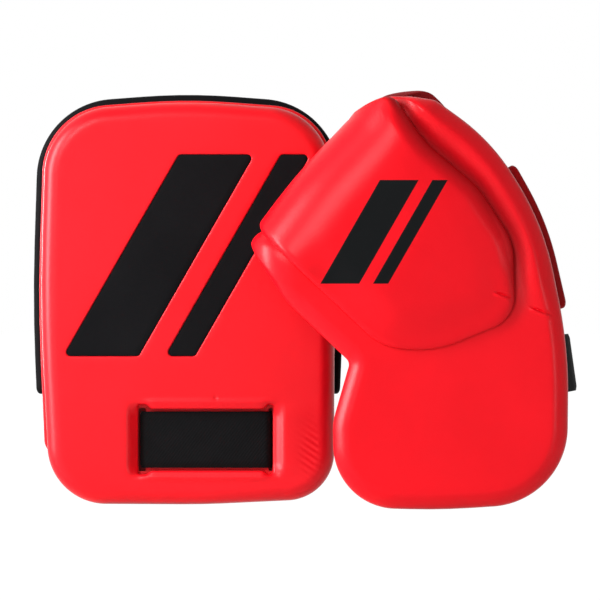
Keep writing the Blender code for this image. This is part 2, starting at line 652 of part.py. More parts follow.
def build_right(stuff):
    pad = frame("right_pad", None, (RIGHT_X, -LEFT_FOOT_Y - RIGHT_FORWARD, 0))

    shell = slab(rounded(shell_corners()), 0, SHELL_THICKNESS, SHELL_EDGE)
    piece("right_finger_shell", fold(shell), stuff["red_foam"], pad)
    board = slab(rounded(front_board_corners()), BOARD_FRONT, BOARD_THICKNESS, BOARD_EDGE)
    piece("right_front_board", fold(board), stuff["red_foam"], pad)
    second_outline = rounded(second_board_corners())
    piece("right_back_board", slab(second_outline, SECOND_FRONT, SECOND_THICKNESS), stuff["red_foam"], pad)

    lining_front = SECOND_REAR + CLEARANCE
    lining_outline = [(point - normal * LINING_MARGIN, normal) for point, normal in second_outline]
    piece("right_lining", slab(lining_outline, lining_front, LINING_THICKNESS), stuff["lining"], pad)

    channel_left = LINING_MARGIN + BOARD_LEFT_WAIST - BOARD_LEFT_END
    channel_right = BOARD_END - BOARD_RIGHT_WAIST - LINING_MARGIN
    channel_front = SECOND_START - SECOND_INSET
    channel_outline = rounded([
        fold_point(channel_left, channel_front, SECOND_CORNER),
        fold_point(channel_right, channel_front, SECOND_CORNER),
        fold_point(channel_right, FLAP_END + LINING_MARGIN, SECOND_CORNER),
        fold_point(channel_left, FLAP_END + LINING_MARGIN, SECOND_CORNER),
    ])
    channel = slab(channel_outline, BOARD_REAR + CLEARANCE, LINING_THICKNESS)
    piece("right_channel_lining", fold(channel), stuff["lining"], pad)

    lower, upper = board_side_corners(0)
    shoulder = fold_point(BOARD_END, SHOULDER_ACROSS, SHOULDER_RADIUS)
    rim_ends = [level_point(lower, upper, SIDE_RIM_FOOT), level_point(upper, shoulder, SIDE_RIM_TOP)]
    rim_line = rounded([rim_ends[0], upper, rim_ends[1]], closed=False)
    rim = wall(rim_line, SIDE_RIM_PROUD, SIDE_RIM_WALL, lining_front, SIDE_RIM_DEPTH, RIM_EDGE)
    piece("right_side_rim", rim, stuff["red_foam"], pad)

    pad_front = RIGHT_LINING_REAR + CLEARANCE
    cuff_outline = box_outline(CUFF_X, CUFF_HEIGHT / 2, CUFF_WIDTH, CUFF_HEIGHT, CUFF_RADIUS)
    cuff = slab(cuff_outline, pad_front, CUFF_THICKNESS, 0, PAD_EDGE)
    piece("right_cuff_pad", cuff, stuff["cushion"], pad)

    knuckle_x, knuckle_z, _ = fold_point(KNUCKLE_ALONG, KNUCKLE_ACROSS, 0)
    knuckle = frame("right_knuckle_place", pad, (knuckle_x, RIGHT_LINING_REAR, knuckle_z), -FOLD_ANGLE)
    knuckle_outline = box_outline(0, 0, KNUCKLE_LENGTH, KNUCKLE_WIDTH, KNUCKLE_RADIUS)
    knuckle_pad = slab(knuckle_outline, CLEARANCE, KNUCKLE_THICKNESS, 0, PAD_EDGE)
    piece("right_knuckle_pad", knuckle_pad, stuff["cushion"], knuckle)
    finger_rise = KNUCKLE_THICKNESS + ELASTIC_RISE
    finger_span = KNUCKLE_LENGTH + 2 * ELASTIC_THICKNESS
    finger_strap = elastic(finger_span, finger_rise, RIGHT_FINGER_WIDTH)
    piece("right_finger_strap", finger_strap, stuff["elastic"], knuckle)

    wrist = frame("right_wrist", pad, (WRIST_X, 0, WRIST_Z), WRIST_TILT)
    front_y = RIGHT_LINING_REAR + CLEARANCE + STRAP_THICKNESS / 2
    under_y = front_y + WRIST_DEPTH
    top_x = WRIST_FOOT + WRIST_FLARE
    route = wrist_strap(WRIST_FOOT, top_x, front_y, under_y)
    piece("right_wrist_strap", strip(route, STRAP_THICKNESS, STRAP_WIDTH), stuff["webbing"], wrist)
    root_x = flap_root_x(WRIST_FOOT, top_x, front_y, under_y)
    wrist_fastening("right", wrist, root_x, under_y, stuff)


finishes = {
    "red_foam": finish("red_foam", (0.93, 0.02, 0.03), 0.45),
    "black_foam": finish("black_foam", (0.012, 0.012, 0.013), 0.6),
    "webbing": finish("webbing", (0.010, 0.010, 0.011), 0.7),
    "elastic": finish("elastic", (0.014, 0.014, 0.015), 0.8),
    "lining": finish("lining", (0.016, 0.016, 0.018), 0.9),
    "cushion": finish("cushion", (0.05, 0.05, 0.055), 0.85),
    "loop": finish("loop", (0.015, 0.015, 0.016), 0.95),
    "hook": finish("hook", (0.012, 0.012, 0.013), 0.5),
}
build_left(finishes)
build_right(finishes)
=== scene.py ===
from math import atan2, ceil, cos, exp, pi, radians, sin, sqrt, tan

import bmesh
import bpy
import numpy as np
from mathutils import Matrix, Vector, geometry, kdtree


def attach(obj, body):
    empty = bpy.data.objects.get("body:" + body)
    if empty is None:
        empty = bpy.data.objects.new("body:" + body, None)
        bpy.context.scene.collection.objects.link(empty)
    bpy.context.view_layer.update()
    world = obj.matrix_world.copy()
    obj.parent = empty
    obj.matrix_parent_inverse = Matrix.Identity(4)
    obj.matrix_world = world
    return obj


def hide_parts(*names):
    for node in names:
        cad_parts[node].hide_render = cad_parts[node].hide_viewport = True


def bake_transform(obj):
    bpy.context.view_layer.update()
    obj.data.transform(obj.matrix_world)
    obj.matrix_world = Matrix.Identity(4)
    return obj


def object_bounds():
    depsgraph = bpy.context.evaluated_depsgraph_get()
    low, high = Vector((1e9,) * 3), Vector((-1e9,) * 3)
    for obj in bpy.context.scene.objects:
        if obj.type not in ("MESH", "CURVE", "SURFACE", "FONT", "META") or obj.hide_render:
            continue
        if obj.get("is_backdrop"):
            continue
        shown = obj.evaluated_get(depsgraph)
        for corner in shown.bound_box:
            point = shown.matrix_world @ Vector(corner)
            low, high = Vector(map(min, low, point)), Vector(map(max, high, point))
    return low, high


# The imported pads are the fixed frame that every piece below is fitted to.
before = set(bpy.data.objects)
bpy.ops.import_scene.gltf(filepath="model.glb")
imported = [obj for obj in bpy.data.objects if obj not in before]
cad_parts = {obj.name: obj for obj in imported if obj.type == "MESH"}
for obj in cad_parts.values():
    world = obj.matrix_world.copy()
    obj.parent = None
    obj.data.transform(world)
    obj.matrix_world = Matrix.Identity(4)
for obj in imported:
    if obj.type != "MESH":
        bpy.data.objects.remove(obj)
cad_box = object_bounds()


# Studio: a white floor under plain soft light, seen level from the front with a long lens,
# so that both pads stand upright as in a catalogue picture.
class Wire:
    """One socket of a node tree. Sums and products of sockets add their own Math nodes."""

    def __init__(self, tree, socket=None):
        self.tree = tree
        self.socket = socket

    def make(self, kind, settings=(), inputs=(), output=0):
        """Add a node of any kind, set it up, join its inputs and give back one of its outputs."""
        node = self.tree.nodes.new(kind)
        for key, value in dict(settings).items():
            if key == "stops":
                for element, (spot, colour) in zip(node.color_ramp.elements, value):
                    element.position = spot
                    element.color = colour
            else:
                setattr(node, key, value)
        for key, value in dict(inputs).items():
            if isinstance(value, Wire):
                self.tree.links.new(value.socket, node.inputs[key])
            else:
                node.inputs[key].default_value = value
        return Wire(self.tree, node.outputs[output] if node.outputs else None)

    def sum(self, operation, first, second):
        return self.make("ShaderNodeMath", {"operation": operation}, {0: first, 1: second})

    def __add__(self, other):
        return self.sum("ADD", self, other)

    def __sub__(self, other):
        return self.sum("SUBTRACT", self, other)

    def __rsub__(self, other):
        return self.sum("SUBTRACT", other, self)

    def __mul__(self, other):
        return self.sum("MULTIPLY", self, other)

    __radd__ = __add__
    __rmul__ = __mul__


CAMERA_DISTANCE = 4.015
CAMERA_SPOT = (0.0842, -0.0323 - CAMERA_DISTANCE, 0.1527)
PIXEL_SIZE = 0.000745
FRAME_PIXELS = 600
lens = bpy.data.cameras.new("camera")
lens.sensor_width = 36
lens.lens = lens.sensor_width * CAMERA_DISTANCE / (FRAME_PIXELS * PIXEL_SIZE)
lens.clip_end = 50
camera = bpy.data.objects.new("camera", lens)
camera.location = CAMERA_SPOT
camera.rotation_euler = (pi / 2, 0, 0)
bpy.context.scene.collection.objects.link(camera)
bpy.context.scene.camera = camera
bpy.context.scene.view_settings.view_transform = 'Standard'

AMBIENT = 0.14
WHITE = (1, 1, 1, 1)
world = bpy.data.worlds.new("studio")
world.use_nodes = True
world.node_tree.nodes.clear()
sky = Wire(world.node_tree)
seen = sky.make("ShaderNodeLightPath", output="Is Camera Ray")
shined = sky.make("ShaderNodeLightPath", output="Is Glossy Ray")
passed = sky.make("ShaderNodeLightPath", output="Is Transmission Ray")
shown = sky.sum("MINIMUM", seen + shined + passed, 1.0)
strength = shown * (1 - AMBIENT) + AMBIENT
glow = sky.make("ShaderNodeBackground", (), {"Color": WHITE, "Strength": strength})
sky.make("ShaderNodeOutputWorld", (), {"Surface": glow})
bpy.context.scene.world = world

LAMP_TINT = (0.95, 0.96, 1.0)


def softbox(name, place, target, width, height, power):
    """Rectangular lamp that faces a target."""
    lamp = bpy.data.lights.new(name, 'AREA')
    lamp.shape = 'RECTANGLE'
    lamp.size = width
    lamp.size_y = height
    lamp.energy = power
    lamp.color = LAMP_TINT
    stand = bpy.data.objects.new(name, lamp)
    stand.location = place
    facing = Vector(target) - Vector(place)
    stand.rotation_euler = facing.to_track_quat('-Z', 'Y').to_euler()
    bpy.context.scene.collection.objects.link(stand)


softbox("left_softbox", (-1.5, -0.50, 0.62), (0.0, -0.15, 0.15), width=0.48, height=1.25, power=50)
softbox("front_softbox", (-1.2, -2.7, 1.50), (0.08, -0.05, 0.15), width=1.2, height=1.2, power=48)
softbox("right_softbox", (1.6, -1.8, 0.20), (0.15, -0.10, 0.06), width=0.6, height=0.4, power=5)
softbox("back_softbox", (-0.5, 2.8, 0.30), (0.08, 0.0, 0.15), width=1.6, height=0.5, power=45)



def blank_material(name):
    """New material with an empty node tree, and a wire that builds that tree."""
    material = bpy.data.materials.new(name)
    material.use_nodes = True
    material.node_tree.nodes.clear()
    return material, Wire(material.node_tree)


FLOOR_SPAN = 40.0
FLOOR_GREY = (0.65, 0.65, 0.65, 1)
FLOOR_GLOW = 1.06
SHADOW_SHARE = 0.05
floor_mesh = bpy.data.meshes.new("floor")
half_floor = FLOOR_SPAN / 2
corners = [(-half_floor, -half_floor, 0), (half_floor, -half_floor, 0), (half_floor, half_floor, 0)]
floor_mesh.from_pydata(corners + [(-half_floor, half_floor, 0)], [], [(0, 1, 2, 3)])
floor = bpy.data.objects.new("floor", floor_mesh)
bpy.context.scene.collection.objects.link(floor)
floor_paint, ground = blank_material("white_floor")
looked = ground.make("ShaderNodeLightPath", output="Is Camera Ray")
mirrored = ground.make("ShaderNodeLightPath", output="Is Glossy Ray")
speckle = ground.make("ShaderNodeTexNoise", (), {"Scale": 3.0}, "Fac")
roughness = 0.7 + speckle * 0.2
matt = ground.make("ShaderNodeBsdfPrincipled", (), {"Base Color": FLOOR_GREY, "Roughness": roughness})
white = ground.make("ShaderNodeEmission", (), {"Color": WHITE, "Strength": FLOOR_GLOW})
bright = ground.sum("MINIMUM", looked + mirrored, 1.0) * (1 - SHADOW_SHARE)
blend = ground.make("ShaderNodeMixShader", (), {0: bright, 1: matt, 2: white})
ground.make("ShaderNodeOutputMaterial", (), {"Surface": blend})
floor_mesh.materials.append(floor_paint)
floor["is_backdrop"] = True


# Left second layer: a sheet of red closed-cell foam, die cut with square edges and bonded behind the face.
# Its foot is cut in, so that it hides behind the face's round lower corners.
CLEARANCE = 0.0003
ARC_STEP = radians(2)
ROW_PITCH = 0.866
EDGE_ROOM = 0.4
RED = (0.90, 0.004, 0.012, 1)
DEEP_RED = (0.84, 0.003, 0.010, 1)
INK_SHINE = 1.12


def rounded(corners, spacing, closed=True):
    """Even points and outward normals along a line of (u, v, radius) corners, counter-clockwise."""
    path = []
    last = len(corners) - 1
    for index, (u, v, radius) in enumerate(corners):
        here = Vector((u, v))
        entry = (here - Vector(corners[index - 1][:2])).normalized()
        leave = (Vector(corners[(index + 1) % (last + 1)][:2]) - here).normalized()
        if not closed and index in (0, last):
            path.append(here)
            continue
        turn = atan2(entry.cross(leave), entry.dot(leave))
        side = 1 if turn > 0 else -1
        normal = Vector((entry.y, -entry.x))
        centre = here - entry * radius * tan(abs(turn) / 2) - normal * radius * side
        steps = max(2, ceil(abs(turn) / ARC_STEP))
        for step in range(steps + 1):
            path.append(centre + Matrix.Rotation(turn * step / steps, 2) @ normal * radius * side)
    if closed:
        path.append(path[0])
    points = np.array([tuple(point) for point in path])
    run = np.concatenate(([0], np.cumsum(np.linalg.norm(np.diff(points, axis=0), axis=1))))
    marks = np.linspace(0, run[-1], max(8, round(run[-1] / spacing)) + 1)
    even = np.stack([np.interp(marks, run, points[:, axis]) for axis in (0, 1)], axis=1)
    if closed:
        even = even[:-1]
        ahead = np.roll(even, -1, 0) - np.roll(even, 1, 0)
    else:
        ahead = np.gradient(even, axis=0)
    ahead /= np.linalg.norm(ahead, axis=1)[:, None]
    return even, np.stack([ahead[:, 1], -ahead[:, 0]], axis=1)


def round_edge(inset, depth, steps=8):
    """Quarter-round edge as (inset, depth) pairs from the face to the side."""
    swing = [pi / 2 * step / steps for step in range(steps + 1)]
    return [(inset * (1 - sin(angle)), depth * (1 - cos(angle))) for angle in swing]


def back_edge(inset, rear, steps=4):
    """The same edge at the back, from the side to the back face."""
    return [(shift, rear - depth) for shift, depth in reversed(round_edge(inset, inset, steps))]


def join_rings(form, rings):
    """Walls between neighbouring closed rings of vertices."""
    for near, far in zip(rings, rings[1:]):
        for index in range(len(near)):
            form.faces.new((near[index - 1], near[index], far[index], far[index - 1]))


def ring_walls(form, outline, profile, shares=1):
    """Rings of an outline at (inset, depth) steps, joined by walls. Shares scale the insets along
    the outline."""
    points, normals = outline
    rings = []
    for inset, depth in profile:
        ring = points - normals * inset * shares
        rings.append([form.verts.new((u, depth, v)) for u, v in ring])
    join_rings(form, rings)
    return rings


def within(points, loops):
    """Whether each flat point lies inside an odd number of the loops."""
    crossings = np.zeros(len(points), int)
    for loop in loops:
        for (u0, v0), (u1, v1) in zip(loop, np.roll(loop, -1, 0)):
            spans = (points[:, 1] < v0) != (points[:, 1] < v1)
            reach = u0 + (points[:, 1] - v0) * (u1 - u0) / (v1 - v0 if v1 != v0 else 1)
            crossings += spans & (points[:, 0] < reach)
    return crossings % 2 == 1


def fill(form, loops, spacing, extra=()):
    """Fine face between flat loops of vertices: the first is the border, and the others are openings."""
    border = [vert for loop in loops for vert in loop]
    depth = border[0].co.y
    outlines = [np.array([(vert.co.x, vert.co.z) for vert in loop]) for loop in loops]
    edges = []
    for loop in loops:
        first = len(edges)
        edges += [(first + index, first + (index + 1) % len(loop)) for index in range(len(loop))]
    tree = kdtree.KDTree(len(border))
    for index, vert in enumerate(border):
        tree.insert((vert.co.x, 0, vert.co.z), index)
    tree.balance()
    low = outlines[0].min(0)
    high = outlines[0].max(0)
    grid = []
    for row in range(ceil((high[1] - low[1]) / (spacing * ROW_PITCH)) + 1):
        for column in range(ceil((high[0] - low[0]) / spacing) + 1):
            grid.append((low[0] + (column + row % 2 / 2) * spacing, low[1] + row * spacing * ROW_PITCH))
    grid = np.array(grid + list(extra))
    grid = grid[within(grid, outlines)]
    grid = [spot for spot in grid if tree.find((spot[0], 0, spot[1]))[2] > spacing * EDGE_ROOM]
    flat = [Vector((vert.co.x, vert.co.z)) for vert in border] + [Vector(spot) for spot in grid]
    spots, _, triangles, origins, _, _ = geometry.delaunay_2d_cdt(flat, edges, [], 1, 1e-9)
    places = {origin: index for index, known in enumerate(origins) for origin in known}
    fences = [(places[start], places[end]) for start, end in edges]
    sides = {}
    for number, triangle in enumerate(triangles):
        for corner in range(3):
            sides[triangle[corner - 1], triangle[corner]] = number
    dropped = set()
    waiting = [sides[fence] for fence in fences[len(loops[0]):] if fence in sides]
    fences = {frozenset(fence) for fence in fences}
    while waiting:
        number = waiting.pop()
        if number in dropped:
            continue
        dropped.add(number)
        triangle = triangles[number]
        for corner in range(3):
            side = (triangle[corner], triangle[corner - 1])
            if frozenset(side) not in fences and side in sides:
                waiting.append(sides[side])
    verts = []
    for spot, origin in zip(spots, origins):
        known = [index for index in origin if index < len(border)]
        verts.append(border[known[0]] if known else form.verts.new((spot.x, depth, spot.y)))
    for number, triangle in enumerate(triangles):
        if number not in dropped:
            form.faces.new([verts[index] for index in triangle])


def moulded(outline, profile, pockets=(), spacing=0.004, extra=(), slots=(), shares=1):
    """Closed form with rings from front to back. Slots go through it, from the first pocket if there
    is one."""
    form = bmesh.new()
    rings = ring_walls(form, outline, profile, shares)
    entry = pockets[0][1][-1][1] if pockets else profile[0][1]
    cuts = [ring_walls(form, slot, [(0, entry), (0, profile[-1][1])]) for slot in slots]
    fronts = [rings[0]]
    if not pockets:
        fronts += [cut[0] for cut in cuts]
    for number, (pocket_outline, pocket_profile) in enumerate(pockets):
        steps = ring_walls(form, pocket_outline, pocket_profile)
        fronts.append(steps[0])
        fill(form, [steps[-1]] + ([] if number else [cut[0] for cut in cuts]), spacing)
    fill(form, fronts, spacing, extra)
    fill(form, [rings[-1]] + [cut[-1] for cut in cuts], spacing)
    return form


def piece(name, form, material, place=(0, 0, 0), tilt=0.0, sharp=radians(38)):
    """Finished object from a form that was made in its own pad's frame, turned about Y and put in
    its place."""
    bmesh.ops.recalc_face_normals(form, faces=form.faces)
    if form.calc_volume(signed=True) < 0:
        bmesh.ops.reverse_faces(form, faces=form.faces)
    mesh = bpy.data.meshes.new(name)
    form.to_mesh(mesh)
    form.free()
    mesh.transform(Matrix.Translation(place) @ Matrix.Rotation(tilt, 4, 'Y'))
    mesh.shade_smooth()
    mesh.set_sharp_from_angle(angle=sharp)
    mesh.materials.append(material)
    made = bpy.data.objects.new(name, mesh)
    bpy.context.scene.collection.objects.link(made)
    return made


def noise(root, place, scale, detail):
    """Random tone at a place."""
    return root.make("ShaderNodeTexNoise", (), {"Vector": place, "Scale": scale, "Detail": detail}, "Fac")


def tinted(root, share, first, second):
    """Colour between two others, by a share."""
    return root.make("ShaderNodeMix", {"data_type": 'RGBA'}, {0: share, 6: first, 7: second}, 2)


def foam_skin(name, colour, deep, gloss, shine, print_mask=None, ink=None, cut_and_shade=None):
    """Moulded closed-cell foam: a satin skin with fine grain, faint clouds of tone and small pits. A darker
    colour is mixed in where the mesh marks it: on cut sides, and as painted shade on shaded parts."""
    material, root = blank_material(name)
    place = root.make("ShaderNodeTexCoord", output="Object")
    cloud = noise(root, place, 16.0, 4.0)
    grain = noise(root, place, 950.0, 2.0)
    wave = noise(root, place, 120.0, 2.0)
    pits = root.make("ShaderNodeTexVoronoi", (), {"Vector": place, "Scale": 620.0}, "Distance")
    tone = root.make("ShaderNodeMapRange", (), {0: cloud, 1: 0.35, 2: 0.68, 3: 0.0, 4: 1.0})
    skin = tinted(root, tone, deep, colour)
    rough = gloss + (grain - 0.5) * 0.16 + (cloud - 0.5) * 0.10
    # Painted shade: a darker colour mixed in where the mesh marks cut sides and shaded parts.
    if cut_and_shade:
        cut_and_shade_share = root.make("ShaderNodeAttribute", {"attribute_name": "cut_and_shade"}, (), "Fac")
        skin = tinted(root, cut_and_shade_share, skin, cut_and_shade)
        rough = rough + cut_and_shade_share * 0.3
    height = grain * 0.5 + pits * 0.35 + wave * 0.9
    relief = {"Strength": 0.35, "Distance": 0.00022, "Height": height}
    bump = root.make("ShaderNodeBump", (), relief, "Normal")
    finish = {"Base Color": skin, "Roughness": rough, "IOR": shine, "Normal": bump}
    shader = root.make("ShaderNodeBsdfPrincipled", (), finish)
    if print_mask:
        finish = {"Base Color": ink, "Roughness": rough + 0.25, "IOR": INK_SHINE, "Normal": bump}
        printed = root.make("ShaderNodeBsdfPrincipled", (), finish)
        shader = root.make("ShaderNodeMixShader", (), {0: print_mask(root, place), 1: shader, 2: printed})
    root.make("ShaderNodeOutputMaterial", (), {"Surface": shader})
    return material


red_foam = foam_skin("red_foam", RED, DEEP_RED, gloss=0.37, shine=1.35)

LEFT_PLACE = (0, -0.0323, 0)
FACE_HALF = 0.1100
FACE_HEIGHT = 0.3014
FACE_TAPER = 0.0045
FACE_CROWN = 0.008
FACE_THICKNESS = 0.022
SIDE_BOW = 1.2
TOP_BOW = 0.45
TOP_RADII = (0.048, 0.052)
SECOND_PROUD = 0.0018
SECOND_FRONT = FACE_THICKNESS + CLEARANCE
SECOND_REAR = SECOND_FRONT + 0.020
SECOND_TOP = FACE_HEIGHT + SECOND_PROUD
SECOND_HALF = FACE_HALF + SECOND_PROUD
SECOND_SIDE = SECOND_HALF - FACE_TAPER
SECOND_STEP = (SECOND_SIDE, 0.045)
PLATE_EDGE = 0.0012
WINDOW_X = 0.0153
WINDOW_Z = 0.0485
BACK_SLOTS = ((-0.0507, -0.0477), (0.0453, 0.0483))
BACK_SLOT_HALF = 0.0202


def pad_corners(half_width, top, feet, radii=TOP_RADII):
    """Left pad outline above its foot: bowed sides and a crowned top edge."""
    sides = []
    for radius in radii:
        sides.append([(half_width, top / 2, SIDE_BOW), (half_width - FACE_TAPER, top - FACE_CROWN, radius)])
    left = [(-u, v, radius) for u, v, radius in reversed(sides[1])]
    return feet + sides[0] + [(0, top, TOP_BOW)] + left


def slot_lines(spans, half_height):
    """The two slots that the wrist webbing goes through, either side of the strap window."""
    lines = []
    for low, high in spans:
        spots = ((low, -half_height), (high, -half_height), (high, half_height), (low, half_height))
        lines.append(rounded([(WINDOW_X + u, WINDOW_Z + v, 0.001) for u, v in spots], 0.001))
    return lines


def plate_profile(front, rear):
    """Square-cut sheet of foam with its edges just broken."""
    steps = [(inset, front + depth) for inset, depth in round_edge(PLATE_EDGE, PLATE_EDGE, 3)]
    return steps + back_edge(PLATE_EDGE, rear, 3)


second_feet = [
    (SECOND_SIDE - 0.0447, 0.004, 0.020), (SECOND_SIDE - 0.0083, 0.030, 0.020), (*SECOND_STEP, 0.010),
]
second_corners = pad_corners(SECOND_HALF, SECOND_TOP, second_feet)
second_corners += [(-u, v, radius) for u, v, radius in reversed(second_feet)]
second_line = rounded(second_corners, 0.002)
second_profile = plate_profile(SECOND_FRONT, SECOND_REAR)
back_slots = slot_lines(BACK_SLOTS, BACK_SLOT_HALF)
second_form = moulded(second_line, second_profile, spacing=0.012, slots=back_slots)
left_second = piece("left_second_layer", second_form, red_foam, LEFT_PLACE)
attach(left_second, "left_pad")
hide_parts("left_back_board")


# Left face: a heat-moulded red foam board with a soft round edge, slightly crowned. The strap window is
# pressed into it: two slots, a hollow that falls away to the left slot and a thick lip beside the right one.
FACE_EDGE = 0.0115
BAR_HEIGHT = 0.150
BAR_LEAN = 0.043
BAR_Z = 0.186
BARS = (("wide", -0.049, 0.056), ("narrow", 0.027, 0.022))
BAR_RADIUS = 0.003
BAR_LIP = 0.0009
BAR_SUNK = 0.0006
BAR_POCKET = 0.0022
WINDOW_LIP = 0.0019
WINDOW_DEPTH = 0.0105
HOLLOW_DEPTH = 0.0084
ROLL_DEPTH = 0.0042
LIP_RISE = 0.0010
EDGE_RISE = 0.0011
NICK_DEPTH = 0.0012
CROWN_RISE = 0.0016
RIPPLE_SPOT = (0.094, 0.036)
RIPPLE_DEPTH = 0.00028
RIPPLE_PITCH = 0.0042


def ease(value):
    """Smooth step from 0 to 1."""
    value = min(max(value, 0.0), 1.0)
    return value * value * (3 - 2 * value)


def past(value, start, width):
    """Smooth step from 0 to 1 that begins at a start and takes a width."""
    return ease((value - start) / width)


def hump(value, middle, width):
    """Smooth hump of height 1 about a middle."""
    return exp(-((value - middle) / width) ** 2)


def fine_grid(corner, pitch, columns, rows):
    """Close grid of points for a part of a face that has fine relief."""
    left, low = corner
    return [(left + column * pitch, low + row * pitch) for column in range(columns) for row in range(rows)]


def bar_line(start, width, room):
    """Slanted bar with level ends, widened by the room all round."""
    low = BAR_Z - BAR_HEIGHT / 2
    high = BAR_Z + BAR_HEIGHT / 2
    points, normals = rounded([
        (start - BAR_LEAN, low, BAR_RADIUS), (start + width - BAR_LEAN, low, BAR_RADIUS),
        (start + width + BAR_LEAN, high, BAR_RADIUS), (start + BAR_LEAN, high, BAR_RADIUS),
    ], 0.0012)
    return points + normals * room, normals


def window_line():
    """Opening over the webbing: taller slots at both ends and a lip along each edge of the webbing."""
    left, right = -0.0522, 0.0490
    high, low = 0.0229, -0.0232
    top, bottom = 0.0262, -0.0258
    half = [(right, bottom, 0.002), (right, top, 0.002), (0.0450, top, 0.002), (0.0415, high, 0.004)]
    other = [(-0.0415, high, 0.004), (-0.0455, top, 0.002), (left, top, 0.002), (left, bottom, 0.002)]
    foot = [(-0.0455, bottom, 0.002), (-0.0415, low, 0.004), (0.0415, low, 0.004), (0.0450, bottom, 0.002)]
    corners = [(WINDOW_X + u, WINDOW_Z + v, radius) for u, v, radius in half + other + foot]
    return rounded(corners, 0.001)


def face_relief(u, v):
    """Depth of the face below flat: hollow and lip beside the window, a crown, and ripples in the skin."""
    across = u - WINDOW_X
    up = v - WINDOW_Z
    beside = 1 - past(abs(up), 0.017, 0.013)
    hollow = HOLLOW_DEPTH * (1 - past(-across, 0.0510, 0.0100)) * (1 - past(across, -0.0535, 0.011))
    roll = ROLL_DEPTH * (1 - past(across, 0.0500, 0.0080)) * past(across, 0.0400, 0.008)
    lip = -LIP_RISE * past(across, 0.0500, 0.0085) * (1 - past(across, 0.0590, 0.028))
    swell = hump(abs(up), 0.0282, 0.0018) * (1 - past(abs(across), 0.040, 0.014))
    edge_swell = -EDGE_RISE * swell
    nick = NICK_DEPTH * exp(-((u - 0.0209) / 0.0007) ** 2 - ((v - 0.0800) / 0.0014) ** 2)
    crown = -CROWN_RISE * max(0, 1 - (u / 0.100) ** 2) * max(0, 1 - ((v - 0.150) / 0.142) ** 2)
    side = u - RIPPLE_SPOT[0]
    level = v - RIPPLE_SPOT[1]
    ripple_reach = exp(-(side / 0.008) ** 2 - (level / 0.020) ** 2)
    ripple = RIPPLE_DEPTH * sin((side * 0.55 + level * 0.84) * 2 * pi / RIPPLE_PITCH) * ripple_reach
    return (hollow + roll + lip) * beside + edge_swell + crown + ripple + nick


face_feet = [
    (-FACE_HALF + 0.0076, 0.0006, 0.044), (0.012, 0, 0.6), (FACE_HALF - 0.0003, 0.0046, 0.036),
]
face_line = rounded(pad_corners(FACE_HALF, FACE_HEIGHT, face_feet), 0.002)
face_profile = round_edge(FACE_EDGE, FACE_EDGE, 10) + back_edge(PLATE_EDGE, FACE_THICKNESS, 3)
lip_steps = [(-shift, depth) for shift, depth in round_edge(WINDOW_LIP, WINDOW_LIP, 6)]
pockets = [(window_line(), lip_steps + [(0.0002, 0.006), (0.0002, WINDOW_DEPTH)])]
for label, start, width in BARS:
    steps = [(-shift, depth) for shift, depth in round_edge(BAR_LIP, BAR_LIP, 4)]
    pockets.append((bar_line(start, width, CLEARANCE), steps + [(0, BAR_POCKET)]))
rippled = fine_grid((0.074, 0.0), pitch=0.0012, columns=34, rows=66)
rippled += fine_grid((-0.060, 0.010), pitch=0.0014, columns=96, rows=54)
face_slots = slot_lines(((-0.0516, -0.0462), (0.0455, 0.0484)), 0.0236)
face_form = moulded(face_line, face_profile, pockets, 0.0035, rippled, face_slots)
for vert in face_form.verts:
    share = max(0.0, 1 - vert.co.y / FACE_EDGE)
    vert.co.y += face_relief(vert.co.x, vert.co.z) * share
left_face = piece("left_face", face_form, red_foam, LEFT_PLACE)
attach(left_face, "left_pad")
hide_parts("left_front_board")


# Left inlays: two slanted bars of black foam, die cut and pressed into pockets of the face,
# so that a thin red lip stands round each of them.
BLACK = (0.0072, 0.0070, 0.0075, 1)
DEEP_BLACK = (0.0054, 0.0053, 0.0058, 1)
BAR_EDGE = 0.0004
BAR_REAR = 0.0021
black_foam = foam_skin("black_foam", BLACK, DEEP_BLACK, gloss=0.62, shine=1.12)
for label, start, width in BARS:
    profile = [(inset, BAR_SUNK + depth) for inset, depth in round_edge(BAR_EDGE, BAR_EDGE, 2)]
    bar_form = moulded(bar_line(start, width, 0), profile + [(0, BAR_REAR)], spacing=0.004)
    for vert in bar_form.verts:
        vert.co.y += face_relief(vert.co.x, vert.co.z)
    bar = piece("left_bar_" + label, bar_form, black_foam, LEFT_PLACE)
    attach(bar, "left_pad")
    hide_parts("left_inlay_" + label)


# Left rim: a bar of black foam bonded round the back of the pad, up one side, over the top and down
# the other, to shield the hand. Its ends are cut square and rounded off.
RIM_HALF = 0.11125
RIM_TOP = 0.3025
RIM_RADII = (0.054, 0.054)
RIM_PROUD = 0.006
RIM_WALL = 0.013
RIM_FRONT = SECOND_REAR + CLEARANCE
RIM_DEPTH = 0.030
RIM_END = 0.087
RIM_ROUND = 0.004
END_STEPS = 6
END_TUCK = 0.45


def bar_section(width, depth, radius, steps=4):
    """Rounded cross-section as (across, deep) pairs about the middle."""
    section = []
    for side, turn in ((1, 1), (-1, 1), (-1, -1), (1, -1)):
        for step in range(steps + 1):
            swing = pi / 2 * step / steps
            if side * turn < 0:
                swing = pi / 2 - swing
            section.append((
                side * (width / 2 - radius + radius * cos(swing)),
                turn * (depth / 2 - radius + radius * sin(swing)),
            ))
    return section


